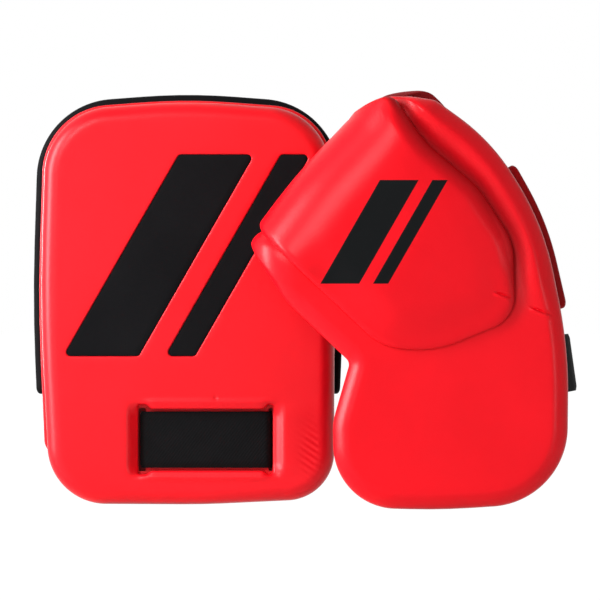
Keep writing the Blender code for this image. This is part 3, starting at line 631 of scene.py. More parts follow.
def swept(line, section, middle, deep, end_round):
    """Bar of a section along an open line, with rounded ends."""
    points, normals = line
    form = bmesh.new()
    swing = [pi / 2 * step / END_STEPS for step in range(END_STEPS)]
    marks = [(0, 1 - END_TUCK * (1 - sin(angle)), -end_round * cos(angle)) for angle in swing]
    marks += [(index, 1.0, 0.0) for index in range(len(points))]
    marks += [(len(points) - 1, scale, -push) for _, scale, push in reversed(marks[:END_STEPS])]
    rings = []
    for index, scale, push in marks:
        shift = Vector((-normals[index][1], normals[index][0])) * push
        ring = []
        for across, depth in section:
            spot = Vector(points[index]) + Vector(normals[index]) * (middle + across * scale) + shift
            ring.append(form.verts.new((spot.x, deep + depth * scale, spot.y)))
        rings.append(ring)
    join_rings(form, rings)
    form.faces.new(rings[0])
    form.faces.new(rings[-1])
    return form


rim_start = (RIM_HALF - FACE_TAPER * (RIM_TOP / 2 - RIM_END) / (RIM_TOP / 2 - SECOND_STEP[1]), RIM_END, 0)
rim_corners = pad_corners(RIM_HALF, RIM_TOP, [rim_start], RIM_RADII) + [(-rim_start[0], RIM_END, 0)]
rim_line = rounded(rim_corners, 0.003, closed=False)
rim_section = bar_section(RIM_WALL, RIM_DEPTH, RIM_ROUND)
rim_form = swept(rim_line, rim_section, RIM_PROUD - RIM_WALL / 2, RIM_FRONT + RIM_DEPTH / 2, 0.005)
rim = piece("left_rim_bar", rim_form, black_foam, LEFT_PLACE)
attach(rim, "left_pad")
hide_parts("left_rim")


# Left lining: a black brushed knit, laminated to the back of the second layer inside the rim.
# It has the same two slots, so that the wrist webbing comes through it.
LINING_THICKNESS = 0.002
LINING_FRONT = SECOND_REAR + CLEARANCE
LINING_REAR = LINING_FRONT + LINING_THICKNESS
LINING_INSET = 0.0076
LINING_BLACK = (0.014, 0.014, 0.015, 1)
LINING_GREY = (0.040, 0.040, 0.043, 1)


def woven(name, dark, light, pitch, gloss, relief):
    """Fabric from its own flat coordinates: crossing threads, stray fibres and faint wear."""
    material, root = blank_material(name)
    flat = root.make("ShaderNodeAttribute", {"attribute_name": "weave"}, (), "Vector")
    split = root.make("ShaderNodeSeparateXYZ", (), {0: flat}).socket.node
    along = Wire(root.tree, split.outputs["X"]) * (2 * pi / pitch[0])
    across = Wire(root.tree, split.outputs["Y"]) * (2 * pi / pitch[1])
    warp = root.sum("SINE", along + across * 0.5, 0)
    weft = root.sum("SINE", across, 0)
    fibre = noise(root, flat, 900.0, 3.0)
    wear = noise(root, flat, 60.0, 3.0)
    yarn = warp * weft * 0.5 + 0.5
    tone = yarn * 0.5 + fibre * 0.6 + wear * 0.35
    shade = root.make("ShaderNodeMapRange", (), {0: tone, 1: 0.35, 2: 1.05})
    colour = tinted(root, shade, dark, light)
    rough = gloss + (fibre - 0.5) * 0.2
    height = yarn + fibre * 0.6
    bump = root.make("ShaderNodeBump", (), {"Strength": 0.7, "Distance": relief, "Height": height}, "Normal")
    finish = {"Base Color": colour, "Roughness": rough, "IOR": 1.13, "Normal": bump}
    shader = root.make("ShaderNodeBsdfPrincipled", (), finish)
    root.make("ShaderNodeOutputMaterial", (), {"Surface": shader})
    return material


def lay_weave(form):
    """Keep the flat place of each point, before any fold, as the fabric's own coordinates."""
    layer = form.verts.layers.float_vector.new("weave")
    for vert in form.verts:
        vert[layer] = (vert.co.x, vert.co.z, vert.co.y)
    return form


def flat_size(points):
    """Width, length and area of a closed flat outline."""
    width, length = points.max(0) - points.min(0)
    ahead = np.roll(points, -1, 0)
    area = abs(np.sum(points[:, 0] * ahead[:, 1] - points[:, 1] * ahead[:, 0])) / 2
    return (float(width), float(length)), float(area)


def lining_profile(front):
    """Thin sheet with soft cut edges."""
    half = LINING_THICKNESS / 2
    return [(half, front), (half * 0.3, front + half * 0.3), (0, front + half),
            (half * 0.3, front + half * 1.7), (half, front + LINING_THICKNESS)]


knit = woven("brushed_knit", LINING_BLACK, LINING_GREY, pitch=(0.0016, 0.0011), gloss=0.9, relief=0.0002)
lining_points = second_line[0] - second_line[1] * LINING_INSET
lining_line = (lining_points, second_line[1])
lining_form = moulded(lining_line, lining_profile(LINING_FRONT), spacing=0.010, slots=back_slots)
left_lining = piece("left_lining_sheet", lay_weave(lining_form), knit, LEFT_PLACE)
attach(left_lining, "left_pad")
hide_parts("left_lining")
lining_size, lining_area = flat_size(lining_points)


# Left hand pad: soft foam in a grey knit cover that lies behind the knuckles. It is quilted across in
# two sewn channels, and its edge is sewn to the lining.
HAND_X = 0.0153
HAND_Z = 0.160
HAND_WIDTH = 0.094
HAND_HEIGHT = 0.124
HAND_RADIUS = 0.034
HAND_THICKNESS = 0.010
COVER_SEAM = 0.004
COVER_VOXEL = 0.0035
SWELL_PRESSURE = 4.0
SWELL_FRAMES = 20
SWELL_CAP = 0.0045
QUILT_WIDTH = 0.0032
QUILT_SHARE = 0.42
THREAD_LENGTH = 0.0026
THREAD_PITCH = 0.0038
THREAD_WIDTH = 0.0004
THREAD_OVER = (0, 0.0001, 0)
THREAD_UNDER = (0, -0.0001, 0)
THREAD_DARK = (0.012, 0.012, 0.013, 1)
THREAD_LIGHT = (0.040, 0.040, 0.043, 1)
COVER_DARK = (0.045, 0.045, 0.048, 1)
COVER_LIGHT = (0.115, 0.115, 0.122, 1)
cover_knit = woven("cover_knit", COVER_DARK, COVER_LIGHT, pitch=(0.0021, 0.0015), gloss=0.85, relief=0.0003)
thread = woven("thread", THREAD_DARK, THREAD_LIGHT, pitch=(0.0008, 0.0006), gloss=0.6, relief=0.0001)


def box_corners(centre, width, height, radius):
    """Rectangle with round corners about a centre."""
    half_width, half_height = width / 2, height / 2
    signs = ((-1, -1), (1, -1), (1, 1), (-1, 1))
    return [(centre[0] + a * half_width, centre[1] + b * half_height, radius) for a, b in signs]


def sew(form, spots, lift):
    """Add a row of stitches along a line of points, each lifted off the cloth by a given vector."""
    weave = form.verts.layers.float_vector.get("weave") or form.verts.layers.float_vector.new("weave")
    spots = [Vector(spot) for spot in spots]
    for start, end in zip(spots, spots[1:]):
        ahead = end - start
        count = int(ahead.length / THREAD_PITCH)
        for step in range(count):
            middle = start + ahead * ((step + 0.5) / count)
            turn = ahead.to_track_quat('X', 'Z').to_matrix().to_4x4()
            size = Matrix.Diagonal((THREAD_LENGTH / 2, THREAD_WIDTH, THREAD_WIDTH, 1))
            place = Matrix.Translation(middle + Vector(lift)) @ turn @ size
            made = bmesh.ops.create_icosphere(form, subdivisions=1, radius=1, matrix=place)
            for vert in made["verts"]:
                vert[weave] = (vert.co.x + vert.co.y, vert.co.z, 0)
                for face in vert.link_faces:
                    face.material_index = 1


def sim_mesh(made):
    """The object's mesh with its modifiers worked in, which takes the place of the old one."""
    scene_now = bpy.context.evaluated_depsgraph_get()
    worked = bpy.data.meshes.new_from_object(made.evaluated_get(scene_now), depsgraph=scene_now)
    made.modifiers.clear()
    made.data = worked


def cushion(name, corners, front, thickness, channels, place, tilt=0.0):
    """Cover swollen over its filling by a short cloth simulation, flat where it rests, then quilted
    and sewn."""
    line = rounded(corners, 0.004)
    edge = thickness * 0.42
    profile = [(0.0025, front)] + back_edge(edge, front + thickness * 0.78, 5)
    profile.insert(1, (0.0, front + thickness * 0.2))
    made = piece(name, moulded(line, profile, spacing=0.006), cover_knit)
    remesh = made.modifiers.new("even", 'REMESH')
    remesh.mode = 'VOXEL'
    remesh.voxel_size = COVER_VOXEL
    sim_mesh(made)
    rest = np.array([tuple(vert.co) for vert in made.data.vertices])
    moved = rest.copy()
    cloth = made.modifiers.new("swell", 'CLOTH')
    cloth.settings.use_pressure = True
    cloth.settings.uniform_pressure_force = SWELL_PRESSURE
    cloth.settings.effector_weights.gravity = 0.0
    for moment in range(1, SWELL_FRAMES + 1):
        bpy.context.scene.frame_set(moment)
    swollen = made.evaluated_get(bpy.context.evaluated_depsgraph_get()).data
    moved = np.array([tuple(vert.co) for vert in swollen.vertices])
    made.modifiers.clear()
    bpy.context.scene.frame_set(1)
    step = moved - rest
    length = np.maximum(np.linalg.norm(step, axis=1), 1e-9)
    moved = rest + step * np.minimum(1, SWELL_CAP / length)[:, None]
    moved[:, 1] = np.maximum(moved[:, 1], front)
    made.data.vertices.foreach_set("co", moved.ravel())
    smooth = made.modifiers.new("fine", 'SUBSURF')
    smooth.levels = 1
    sim_mesh(made)
    form = bmesh.new()
    form.from_mesh(made.data)
    bpy.data.objects.remove(made)
    span = line[0][:, 0].max() - line[0][:, 0].min()
    middle = (line[0][:, 0].max() + line[0][:, 0].min()) / 2
    for level in channels:
        for vert in form.verts:
            near_level = hump(vert.co.z, level, QUILT_WIDTH)
            vert.co.y = front + (vert.co.y - front) * (1 - QUILT_SHARE * near_level)
    lay_weave(form)
    for level in channels:
        reach = span * 0.36
        top = max(vert.co.y for vert in form.verts if abs(vert.co.z - level) < 0.0015)
        sew(form, [(middle - reach, top, level), (middle + reach, top, level)], THREAD_UNDER)
    made = piece(name, form, cover_knit, place, tilt, radians(80))
    made.data.materials.append(thread)
    return made


hand_size = (HAND_WIDTH - COVER_SEAM, HAND_HEIGHT - COVER_SEAM)
hand_corners = box_corners((HAND_X, HAND_Z), *hand_size, HAND_RADIUS)
hand_levels = (HAND_Z - 0.022, HAND_Z + 0.022)
hand_front = LINING_REAR + CLEARANCE
hand_pad = cushion("left_hand_cushion", hand_corners, hand_front, HAND_THICKNESS, hand_levels, LEFT_PLACE)
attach(hand_pad, "left_pad")
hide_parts("left_hand_pad")


# Left finger strap: a wide band of ribbed black elastic that holds the back of the hand. Each foot is sewn
# through the lining with a cross in a box.
ELASTIC_THICKNESS = 0.002
ELASTIC_FOOT = 0.014
RIB_DEPTH = 0.00022
CLOTH_SHARP = radians(60)
ELASTIC_DARK = (0.010, 0.010, 0.011, 1)
ELASTIC_LIGHT = (0.034, 0.034, 0.036, 1)
elastic_cloth = woven("elastic", ELASTIC_DARK, ELASTIC_LIGHT, pitch=(0.0013, 0.0020), gloss=0.75,
                      relief=0.00015)


def ribbon(route, thickness, width, ribs=0, spacing=0.0022):
    """Band along a route of (x, y, radius) corners, wide along Z, with soft edges and ribs along it."""
    points, normals = rounded(route, spacing, closed=False)
    run = np.concatenate(([0], np.cumsum(np.linalg.norm(np.diff(points, axis=0), axis=1))))
    columns = ribs * 6 if ribs else 14
    section = []
    for column in range(columns + 1):
        share = 2 * column / columns - 1
        rim_share = max(0.0, (abs(share) - 0.94) / 0.06)
        half = thickness / 2 * sqrt(max(0.0, 1 - rim_share ** 2 * 0.9))
        if ribs:
            half -= RIB_DEPTH * (0.5 + 0.5 * cos(2 * pi * ribs * column / columns))
        section.append((half, share * width / 2))
    loop = section + [(-half, spot) for half, spot in reversed(section)]
    form = bmesh.new()
    weave = form.verts.layers.float_vector.new("weave")
    rings = []
    for point, normal, length in zip(points, normals, run):
        ring = []
        for half, spot in loop:
            vert = form.verts.new((point[0] + normal[0] * half, point[1] + normal[1] * half, spot))
            vert[weave] = (length, spot, half)
            ring.append(vert)
        rings.append(ring)
    join_rings(form, rings)
    for ring in (rings[0], rings[-1]):
        for index in range(columns):
            form.faces.new((ring[index], ring[index + 1], ring[-2 - index], ring[-1 - index]))
    return form


def box_stitch(form, low, high, y, half, lift):
    """Cross in a box, sewn on a flat part of a band between two places along it."""
    corners = [(low, y, -half), (high, y, -half), (high, y, half), (low, y, half), (low, y, -half)]
    sew(form, corners, lift)
    sew(form, [corners[0], corners[2]], lift)
    sew(form, [corners[1], corners[3]], lift)


def elastic_band(name, span, rise, width, ribs, place, tilt=0.0):
    """Ribbed elastic with a sewn foot at each end and an arch between them."""
    middle = ELASTIC_THICKNESS / 2 + CLEARANCE
    half = span / 2
    bend = ELASTIC_THICKNESS
    crown = min(half, rise) * 0.7
    form = ribbon([
        (-half - ELASTIC_FOOT, middle, 0), (-half, middle, bend), (-half, rise, crown),
        (half, rise, crown), (half, middle, bend), (half + ELASTIC_FOOT, middle, 0),
    ], ELASTIC_THICKNESS, width, ribs)
    for side in (-1, 1):
        low, high = sorted((side * (half + 0.0035), side * (half + ELASTIC_FOOT - 0.002)))
        box_stitch(form, low, high, middle + ELASTIC_THICKNESS / 2, width / 2 - 0.004, THREAD_OVER)
    made = piece(name, form, elastic_cloth, place, tilt, CLOTH_SHARP)
    made.data.materials.append(thread)
    return made


finger_place = (LEFT_PLACE[0] + HAND_X, LEFT_PLACE[1] + LINING_REAR, 0.182)
finger_span = HAND_WIDTH + 2 * ELASTIC_THICKNESS
finger_strap = elastic_band("left_finger_band", finger_span, rise=HAND_THICKNESS + 0.026, width=0.036,
                            ribs=11, place=finger_place)
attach(finger_strap, "left_pad")
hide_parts("left_finger_strap")


# Left thumb loop: a short narrow loop of the same elastic, set askew beside the hand pad. Its two feet
# are sewn through the lining in the same way.
thumb_place = (-0.06595, LEFT_PLACE[1] + LINING_REAR, 0.128)
thumb_loop = elastic_band("left_thumb_band", span=0.034, rise=0.026, width=0.022, ribs=7,
                          place=thumb_place, tilt=radians(-55))
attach(thumb_loop, "left_pad")
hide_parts("left_thumb_loop")


# Left wrist strap: black nylon webbing that runs across the window, through both slots and round the wrist.
# Its free end is a flap with a hook patch, which closes on the loop patch sewn to the end below it.
STRAP_WIDTH = 0.042
STRAP_THICKNESS = 0.0025
PATCH_THICKNESS = 0.0015
PATCH_LENGTH = 0.040
PATCH_MARGIN = 0.002
UNDER_GAP = 0.0083
FLAP_LENGTH = 0.062
ARCH_RADIUS = 0.026
JOIN = 0.012
WRIST_ROOM = 0.052
STRAP_STEP = 0.0013
PATCH_BASE = 0.6
WEB_DARK = (0.0034, 0.0034, 0.0036, 1)
WEB_LIGHT = (0.0086, 0.0086, 0.0090, 1)
PILE_DARK = (0.008, 0.008, 0.009, 1)
PILE_LIGHT = (0.030, 0.030, 0.032, 1)
HOOK_DARK = (0.006, 0.006, 0.0065, 1)
HOOK_LIGHT = (0.024, 0.024, 0.025, 1)
webbing = woven("webbing", WEB_DARK, WEB_LIGHT, pitch=(0.0024, 0.0016), gloss=0.62, relief=0.0003)
loop_pile = woven("loop_pile", PILE_DARK, PILE_LIGHT, pitch=(0.0011, 0.0011), gloss=0.95, relief=0.0005)
hook_tape = woven("hook_tape", HOOK_DARK, HOOK_LIGHT, pitch=(0.0017, 0.0017), gloss=0.45, relief=0.0006)


def patch_form(start, end, y, half, side, tufts):
    """Patch of pile or hooks: a thin base with rows of small tufts on the side that closes."""
    form = ribbon([(start, y, 0), (end, y, 0)], PATCH_THICKNESS * PATCH_BASE, half * 2, spacing=0.004)
    weave = form.verts.layers.float_vector["weave"]
    count_along, count_across = tufts
    for row in range(count_along):
        for column in range(count_across):
            u = start + (end - start) * (row + 0.5 + 0.2 * sin(column * 2.3)) / (count_along + 0.2)
            v = half * (2 * (column + 0.5 + 0.2 * sin(row * 1.7)) / count_across - 1) * 0.97
            top = PATCH_THICKNESS * (0.46 + 0.06 * sin(row * 5.1 + column * 3.7)) * side
            feet = [(u - 0.0007, y, v - 0.0005), (u + 0.0007, y, v - 0.0005), (u, y, v + 0.0008)]
            verts = [form.verts.new(spot) for spot in feet + [(u, y + top, v)]]
            for vert in verts:
                vert[weave] = (vert.co.x, vert.co.z, vert.co.y)
            for corner in ((0, 1, 3), (1, 2, 3), (2, 0, 3), (2, 1, 0)):
                form.faces.new([verts[index] for index in corner])
    return form


def wrist_band(side, feet, top, front_y, under_y, carrier, tilt=0.0):
    """Webbing round the wrist with its flap and patches, on a carrier point in the picture's plane."""
    half = STRAP_THICKNESS / 2
    flap_y = under_y + STRAP_THICKNESS + 2 * PATCH_THICKNESS + 3 * CLEARANCE
    turn = pi / 2 + atan2(top - feet[1], flap_y - front_y)
    root_x = top - ARCH_RADIUS * tan(turn / 2) - 0.0065
    start = root_x - UNDER_GAP
    route = [
        (start, under_y, 0), (-top, under_y, ARCH_RADIUS), (-feet[0], front_y, 0.004),
        (feet[1], front_y, 0.004), (top, flap_y, ARCH_RADIUS), (root_x - FLAP_LENGTH, flap_y, 0),
    ]
    arch = rounded(route, 0.001, closed=False)[0]
    split = int(np.argmax((arch[:, 1] > flap_y - 1e-5) & (arch[:, 0] < root_x + JOIN)))
    strap_route = [(*spot, 0.0) for spot in arch[:split + 1]]
    strap_form = ribbon(strap_route, STRAP_THICKNESS, STRAP_WIDTH, spacing=STRAP_STEP)
    sew_half = STRAP_WIDTH / 2 - PATCH_MARGIN - 0.0015
    patch_end = start - PATCH_MARGIN
    patch_start = patch_end - PATCH_LENGTH
    for level in (-sew_half, sew_half):
        ends = [(patch_start + 0.002, under_y - half, level), (patch_end - 0.002, under_y - half, level)]
        sew(strap_form, ends, THREAD_UNDER)
    strap = piece(side + "_wrist_webbing", strap_form, webbing, carrier, tilt, CLOTH_SHARP)
    strap.data.materials.append(thread)
    flap_route = [(*spot, 0.0) for spot in arch[split:]]
    flap_form = ribbon(flap_route, STRAP_THICKNESS, STRAP_WIDTH, spacing=STRAP_STEP)
    outer = flap_y + half
    box = [(patch_start, outer, -sew_half), (patch_end, outer, -sew_half),
           (patch_end, outer, sew_half), (patch_start, outer, sew_half)]
    sew(flap_form, box + box[:1], THREAD_OVER)
    tip = root_x - FLAP_LENGTH + 0.004
    sew(flap_form, [(tip, outer, -sew_half), (tip, outer, sew_half)], THREAD_OVER)
    flap = piece(side + "_strap_flap", flap_form, webbing, carrier, tilt, CLOTH_SHARP)
    flap.data.materials.append(thread)
    patch_half = STRAP_WIDTH / 2 - PATCH_MARGIN
    loop_y = under_y + half + CLEARANCE + PATCH_THICKNESS * PATCH_BASE / 2
    hook_y = flap_y - half - CLEARANCE - PATCH_THICKNESS * PATCH_BASE / 2
    pile_form = patch_form(patch_start, patch_end, loop_y, patch_half, 1, (28, 26))
    pile = piece(side + "_loop_pile", pile_form, loop_pile, carrier, tilt)
    hook_form = patch_form(patch_start, patch_end, hook_y, patch_half, -1, (24, 22))
    hooks = piece(side + "_hook_tape", hook_form, hook_tape, carrier, tilt)
    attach(strap, side + "_pad")
    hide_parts(side + "_wrist_strap")
    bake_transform(flap)
    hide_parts(side + "_wrist_flap")
    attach(pile, side + "_pad")
    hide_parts(side + "_loop_patch")
    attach(hooks, side + "_flap")
    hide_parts(side + "_hook_patch")


left_carrier = (LEFT_PLACE[0] + WINDOW_X, LEFT_PLACE[1], WINDOW_Z)
wrist_band("left", feet=(0.0492, 0.0468), top=0.0488, front_y=0.00645, under_y=LINING_REAR + WRIST_ROOM,
           carrier=left_carrier)


# Right base: one sheet of red foam, cut flat with a waist and folded round the fingers. Its front covers
# the hand and the cuff, and its flap comes down behind the fingers.
RIGHT_PLACE = (0.196, -0.1503, 0)
FOLD_X = -0.1397
FOLD_Z = 0.200
FOLD_ANGLE = radians(54.2)
FOLD_RADIUS = 0.044
FOLD_BULGE = 0.0066
BULGE_REACH = 0.108
FLAP_REACH = 0.060
ALONG = Vector((cos(FOLD_ANGLE), sin(FOLD_ANGLE)))
ACROSS = Vector((sin(FOLD_ANGLE), -cos(FOLD_ANGLE)))
FOLD_CREST = FOLD_RADIUS - pi * FOLD_RADIUS / 2
FLAP_END = FOLD_RADIUS - pi * FOLD_RADIUS - FLAP_REACH
SHELL_THICKNESS = 0.011
BASE_FRONT = SHELL_THICKNESS + CLEARANCE
BASE_REAR = BASE_FRONT + 0.012
BASE_END = 0.1535
BASE_LEFT = -0.0285
BASE_CORNER = 0.020
GROOVE_DEPTH = 0.0056
GROOVE_WIDTH = 0.0085
# Painted shade along the shell's outer edge, darkening the valley beside it: its share and width.
VALLEY_SHADE_SHARE = 0.72
VALLEY_SHADE_WIDTH = 0.0062
CHEEK_RISE = 0.0084
RIDGE_RISE = 0.0016
SHOULDER = (BASE_END, 0.095)


def fold_point(along, across, radius):
    """Corner given along the fold line and across it, in the pad's plane."""
    spot = Vector((FOLD_X, FOLD_Z)) + ALONG * along + ACROSS * across
    return (spot.x, spot.y, radius)


def fold_place(u, v):
    """Distances of a flat point along the fold line and across it."""
    spot = Vector((u - FOLD_X, v - FOLD_Z))
    return spot.dot(ALONG), spot.dot(ACROSS)


def fold(form):
    """Bend a flat-cut form round the fold line: front, half turn, then the flap behind. The crest is fuller
    towards the fold's low end."""
    for vert in form.verts:
        along, across = fold_place(vert.co.x, vert.co.z)
        if across >= FOLD_RADIUS:
            continue
        swing = min((FOLD_RADIUS - across) / FOLD_RADIUS, pi)
        run = FOLD_RADIUS - across - FOLD_RADIUS * swing
        reach = FOLD_RADIUS - vert.co.y
        bulge = FOLD_BULGE * max(0.0, 1 - (max(along, 0.0) / BULGE_REACH) ** 2)
        u, v, _ = fold_point(along, FOLD_RADIUS - (reach + bulge) * sin(swing) - run * cos(swing), 0)
        vert.co = (u, FOLD_RADIUS - reach * cos(swing) + run * sin(swing), v)
    return form


def edge_gaps(line):
    """Finder of the distance between a flat point and an outline."""
    points = line[0]
    tree = kdtree.KDTree(len(points))
    for index, (u, v) in enumerate(points):
        tree.insert((u, 0, v), index)
    tree.balance()
    return lambda u, v: tree.find((u, 0, v))[2]


def crease(u, v, start, end, depth):
    """Depth of a pinched fold in the skin between two points: a groove with a low ridge below it."""
    run = Vector(end) - Vector(start)
    away = Vector((u, v)) - Vector(start)
    share = away.dot(run) / run.length_squared
    side = run.normalized().cross(away)
    fade = past(share, -0.15, 0.35) * ease((1.15 - share) / 0.35)
    return depth * fade * (hump(side, 0, 0.0007) - 0.7 * hump(side, -0.0016, 0.0011))


SHELL_EDGE = 0.0052
shell_near = FOLD_CREST + 0.031
shell_far = FOLD_CREST - 0.031
shell_edge = FLAP_END + SHELL_EDGE
shell_corners = [
    fold_point(-0.0151, 0.1193, 0.040), fold_point(0.006, 0.152, 0.080), fold_point(0.058, 0.1845, 0.024),
    fold_point(0.103, 0.151, 0.045), fold_point(0.1202, 0.107, 0.055), fold_point(0.1240, 0.060, 0.060),
    fold_point(0.1380, shell_near + 0.003, 0.014), fold_point(0.1120, FOLD_CREST, 0.020),
    fold_point(0.1335, shell_far, 0.020), fold_point(0.1335, shell_edge, 0.020),
    fold_point(0.0035, shell_edge, 0.020), fold_point(0.0035, FOLD_CREST, 0.060),
]
shell_line = rounded(shell_corners, 0.0013)
shell_gap = edge_gaps(shell_line)


def groove(u, v):
    """Depth of the groove that is pressed into the base along the shell's outer edge."""
    return GROOVE_DEPTH * hump(shell_gap(u, v), 0, GROOVE_WIDTH) * past(fold_place(u, v)[0], 0.045, 0.070)


def painted_valley_shade(u, v):
    """Share of painted shade along the shell's outer edge, where the valley beside the shell lies in shade.
    """
    along, across = fold_place(u, v)
    front = past(across, -0.030, 0.030) * past(along, 0.025, 0.075)
    return VALLEY_SHADE_SHARE * hump(shell_gap(u, v), 0, VALLEY_SHADE_WIDTH) * front


def base_relief(u, v):
    """Depth of the base's front below flat: a full cheek at the fold's low end, and beside the shell
    a groove, a ridge and a crease."""
    along, across = fold_place(u, v)
    cheek = -CHEEK_RISE * hump(along, -0.005, 0.014) * (1 - past(across, -0.005, 0.060))
    cheek *= past(across, -0.075, 0.030)
    upper = past(v, 0.125, 0.05) * past(along, 0.06, 0.03)
    ridge = -RIDGE_RISE * hump(base_gap(u, v), 0.015, 0.007) * upper
    return cheek + ridge + groove(u, v) + crease(u, v, (0.0560, 0.1475), (0.0730, 0.1408), 0.0014)


base_near = FOLD_CREST + 0.072
base_far = FOLD_CREST - 0.047
base_corners = [
    (-0.0865, 0.0020, 0.046), (-0.010, 0, 0.5), (0.0825, 0.0060, 0.058),
    (0.0835, 0.118, 0.34), (0.0654, 0.208, 0.20), fold_point(*SHOULDER, 0.15),
    fold_point(BASE_END, base_near, BASE_CORNER), fold_point(BASE_END - 0.0180, FOLD_CREST, BASE_CORNER),
    fold_point(BASE_END + 0.0066, base_far - 0.012, 0.055),
    fold_point(BASE_END - 0.010, FLAP_END, BASE_CORNER), fold_point(BASE_LEFT + 0.026, FLAP_END, 0.022),
    fold_point(BASE_LEFT + 0.014, base_far, BASE_CORNER),
    fold_point(BASE_LEFT + 0.0125, FOLD_CREST - 0.024, BASE_CORNER),
    fold_point(BASE_LEFT + 0.0145, FOLD_CREST, BASE_CORNER), fold_point(BASE_LEFT - 0.001, base_near, 0.040),
    (-0.0755, 0.1075, 0.006), (-0.0880, 0.064, 0.050),
]
base_line = rounded(base_corners, 0.0013)
base_gap = edge_gaps(base_line)
BASE_BEVEL = (
    (0.0125, 0.0), (0.0112, 0.0001), (0.0098, 0.0004), (0.0084, 0.0010), (0.0068, 0.0019), (0.0052, 0.0031),
    (0.0037, 0.0044), (0.0024, 0.0057), (0.0013, 0.0070), (0.0005, 0.0084), (0.0001, 0.0097), (0.0, 0.0108),
)
BEVEL_DEPTH = BASE_BEVEL[-1][1]


def bevel_share(u, v):
    """Width of the base's bevel against its full width: it is narrower round the fold."""
    return 1 - 0.55 * (1 - past(fold_place(u, v)[1], 0.010, 0.045))


def bevel_drop(u, v):
    """Depth of the base's bevel below its front at a flat point."""
    insets, depths = zip(*reversed(BASE_BEVEL))
    return np.interp(base_gap(u, v) / bevel_share(u, v), insets, depths)


base_profile = [(inset, BASE_FRONT + depth) for inset, depth in BASE_BEVEL]
base_profile += back_edge(PLATE_EDGE, BASE_REAR, 3)
pinched = fine_grid((0.050, 0.137), pitch=0.0007, columns=38, rows=22)
base_shares = np.array([bevel_share(u, v) for u, v in base_line[0]])[:, None]
base_form = moulded(base_line, base_profile, spacing=0.0035, extra=pinched, shares=base_shares)
# Darker colour on the base: on its cut sides and at the fold's low end, and painted shade on the flap band
# behind the fold and along the shell's outer edge.
cut_and_shade_layer = base_form.verts.layers.float.new("cut_and_shade")
for vert in base_form.verts:
    along, across = fold_place(vert.co.x, vert.co.z)
    flap_shade = ease((FOLD_CREST + 0.016 - across) / 0.010) * past(along, 0.100, 0.012)
    low_end = ease((FOLD_CREST + 0.030 - across) / 0.012) * ease((-0.004 - along) / 0.004)
    deep = vert.co.y - BASE_FRONT
    low_end *= past(deep, 0.0050, 0.0015)
    side = past(deep, 0.0100, 0.0012)
    vert[cut_and_shade_layer] = max(side, flap_shade, low_end, painted_valley_shade(vert.co.x, vert.co.z))
    share = max(0.0, 1 - deep / BEVEL_DEPTH)
    vert.co.y += base_relief(vert.co.x, vert.co.z) * share
# Dark red for the cut sides, also used as painted shade.
CUT_AND_SHADE_RED = (0.26, 0.0006, 0.002, 1)
board_foam = foam_skin("board_foam", RED, DEEP_RED, gloss=0.33, shine=1.28, cut_and_shade=CUT_AND_SHADE_RED)
base = piece("right_base", fold(base_form), board_foam, RIGHT_PLACE)
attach(base, "right_pad")
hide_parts("right_front_board")


# Right finger shell: a moulded red foam cover over the fingers, bonded to the base and folded with it.
# It is full at the fold and runs out to a low step at its nose. Two slanted bars are printed on it.
PRINT_SPOT = (-0.051, 0.202)
PRINT_HEIGHT = 0.075
PRINT_LEAN = 0.043
PRINT_BARS = ((-0.0245, 0.028), (0.0135, 0.011))
PRINT_EDGE = 0.0001
NOSE_DROP = 0.0070
BRIM_DROP = 0.0052
TIP_DROP = 0.0021
ROLL_DROP = 0.0060
DROP_LIMIT = 0.0088
shell_profile = round_edge(SHELL_EDGE, SHELL_EDGE, 8) + back_edge(PLATE_EDGE, SHELL_THICKNESS, 3)


def shell_drop(u, v):
    """How far the shell's front lies below full thickness: it runs out to a low step all round its front,
    and its outer edge rolls over into the groove."""
    along, across = fold_place(u, v)
    gap = shell_gap(u, v)
    nose = NOSE_DROP * past(across, 0.080, 0.105)
    brim = BRIM_DROP * (1 - past(gap, 0, 0.030)) * past(across, 0.020, 0.050)
    brim *= 1 - 0.75 * past(along, 0.050, 0.050)
    tip = TIP_DROP * past(along, 0.040, 0.070) * (1 - past(across, 0.010, 0.050))
    roll = ROLL_DROP * (1 - past(gap, 0, 0.012)) * past(along, 0.075, 0.030)
    roll *= past(across, 0.005, 0.030)
    drop = min(nose + tip + brim * (1 - nose / 0.0100) + roll, DROP_LIMIT)
    return drop + crease(u, v, (0.0300, 0.1585), (0.0410, 0.1545), 0.0012)


def inked(root, away, half):
    """Share of ink by the distance from a middle line: full up to half the width, with a crisp edge."""
    return root.make("ShaderNodeMapRange", (), {0: away, 1: half + PRINT_EDGE, 2: half - PRINT_EDGE})


def printed_bars(root, place):
    """Share of ink: two slanted bars with level ends, on the front of the shell only."""
    spot = root.make("ShaderNodeSeparateXYZ", (), {0: place}).socket.node
    across = Wire(root.tree, spot.outputs["X"]) - (RIGHT_PLACE[0] + PRINT_SPOT[0])
    up = Wire(root.tree, spot.outputs["Z"]) - PRINT_SPOT[1]
    deep = Wire(root.tree, spot.outputs["Y"]) - RIGHT_PLACE[1]
    slid = across - up * (PRINT_LEAN / PRINT_HEIGHT)
    ink = 0
    for first, width in PRINT_BARS:
        off_side = root.sum("ABSOLUTE", slid - (first + width / 2), 0)
        ink = inked(root, off_side, width / 2) + ink
    off_end = root.sum("ABSOLUTE", up, 0)
    ink = ink * inked(root, off_end, PRINT_HEIGHT / 2)
    front = {0: deep, 1: SHELL_THICKNESS, 2: SHELL_THICKNESS - 0.001}
    return ink * root.make("ShaderNodeMapRange", (), front)


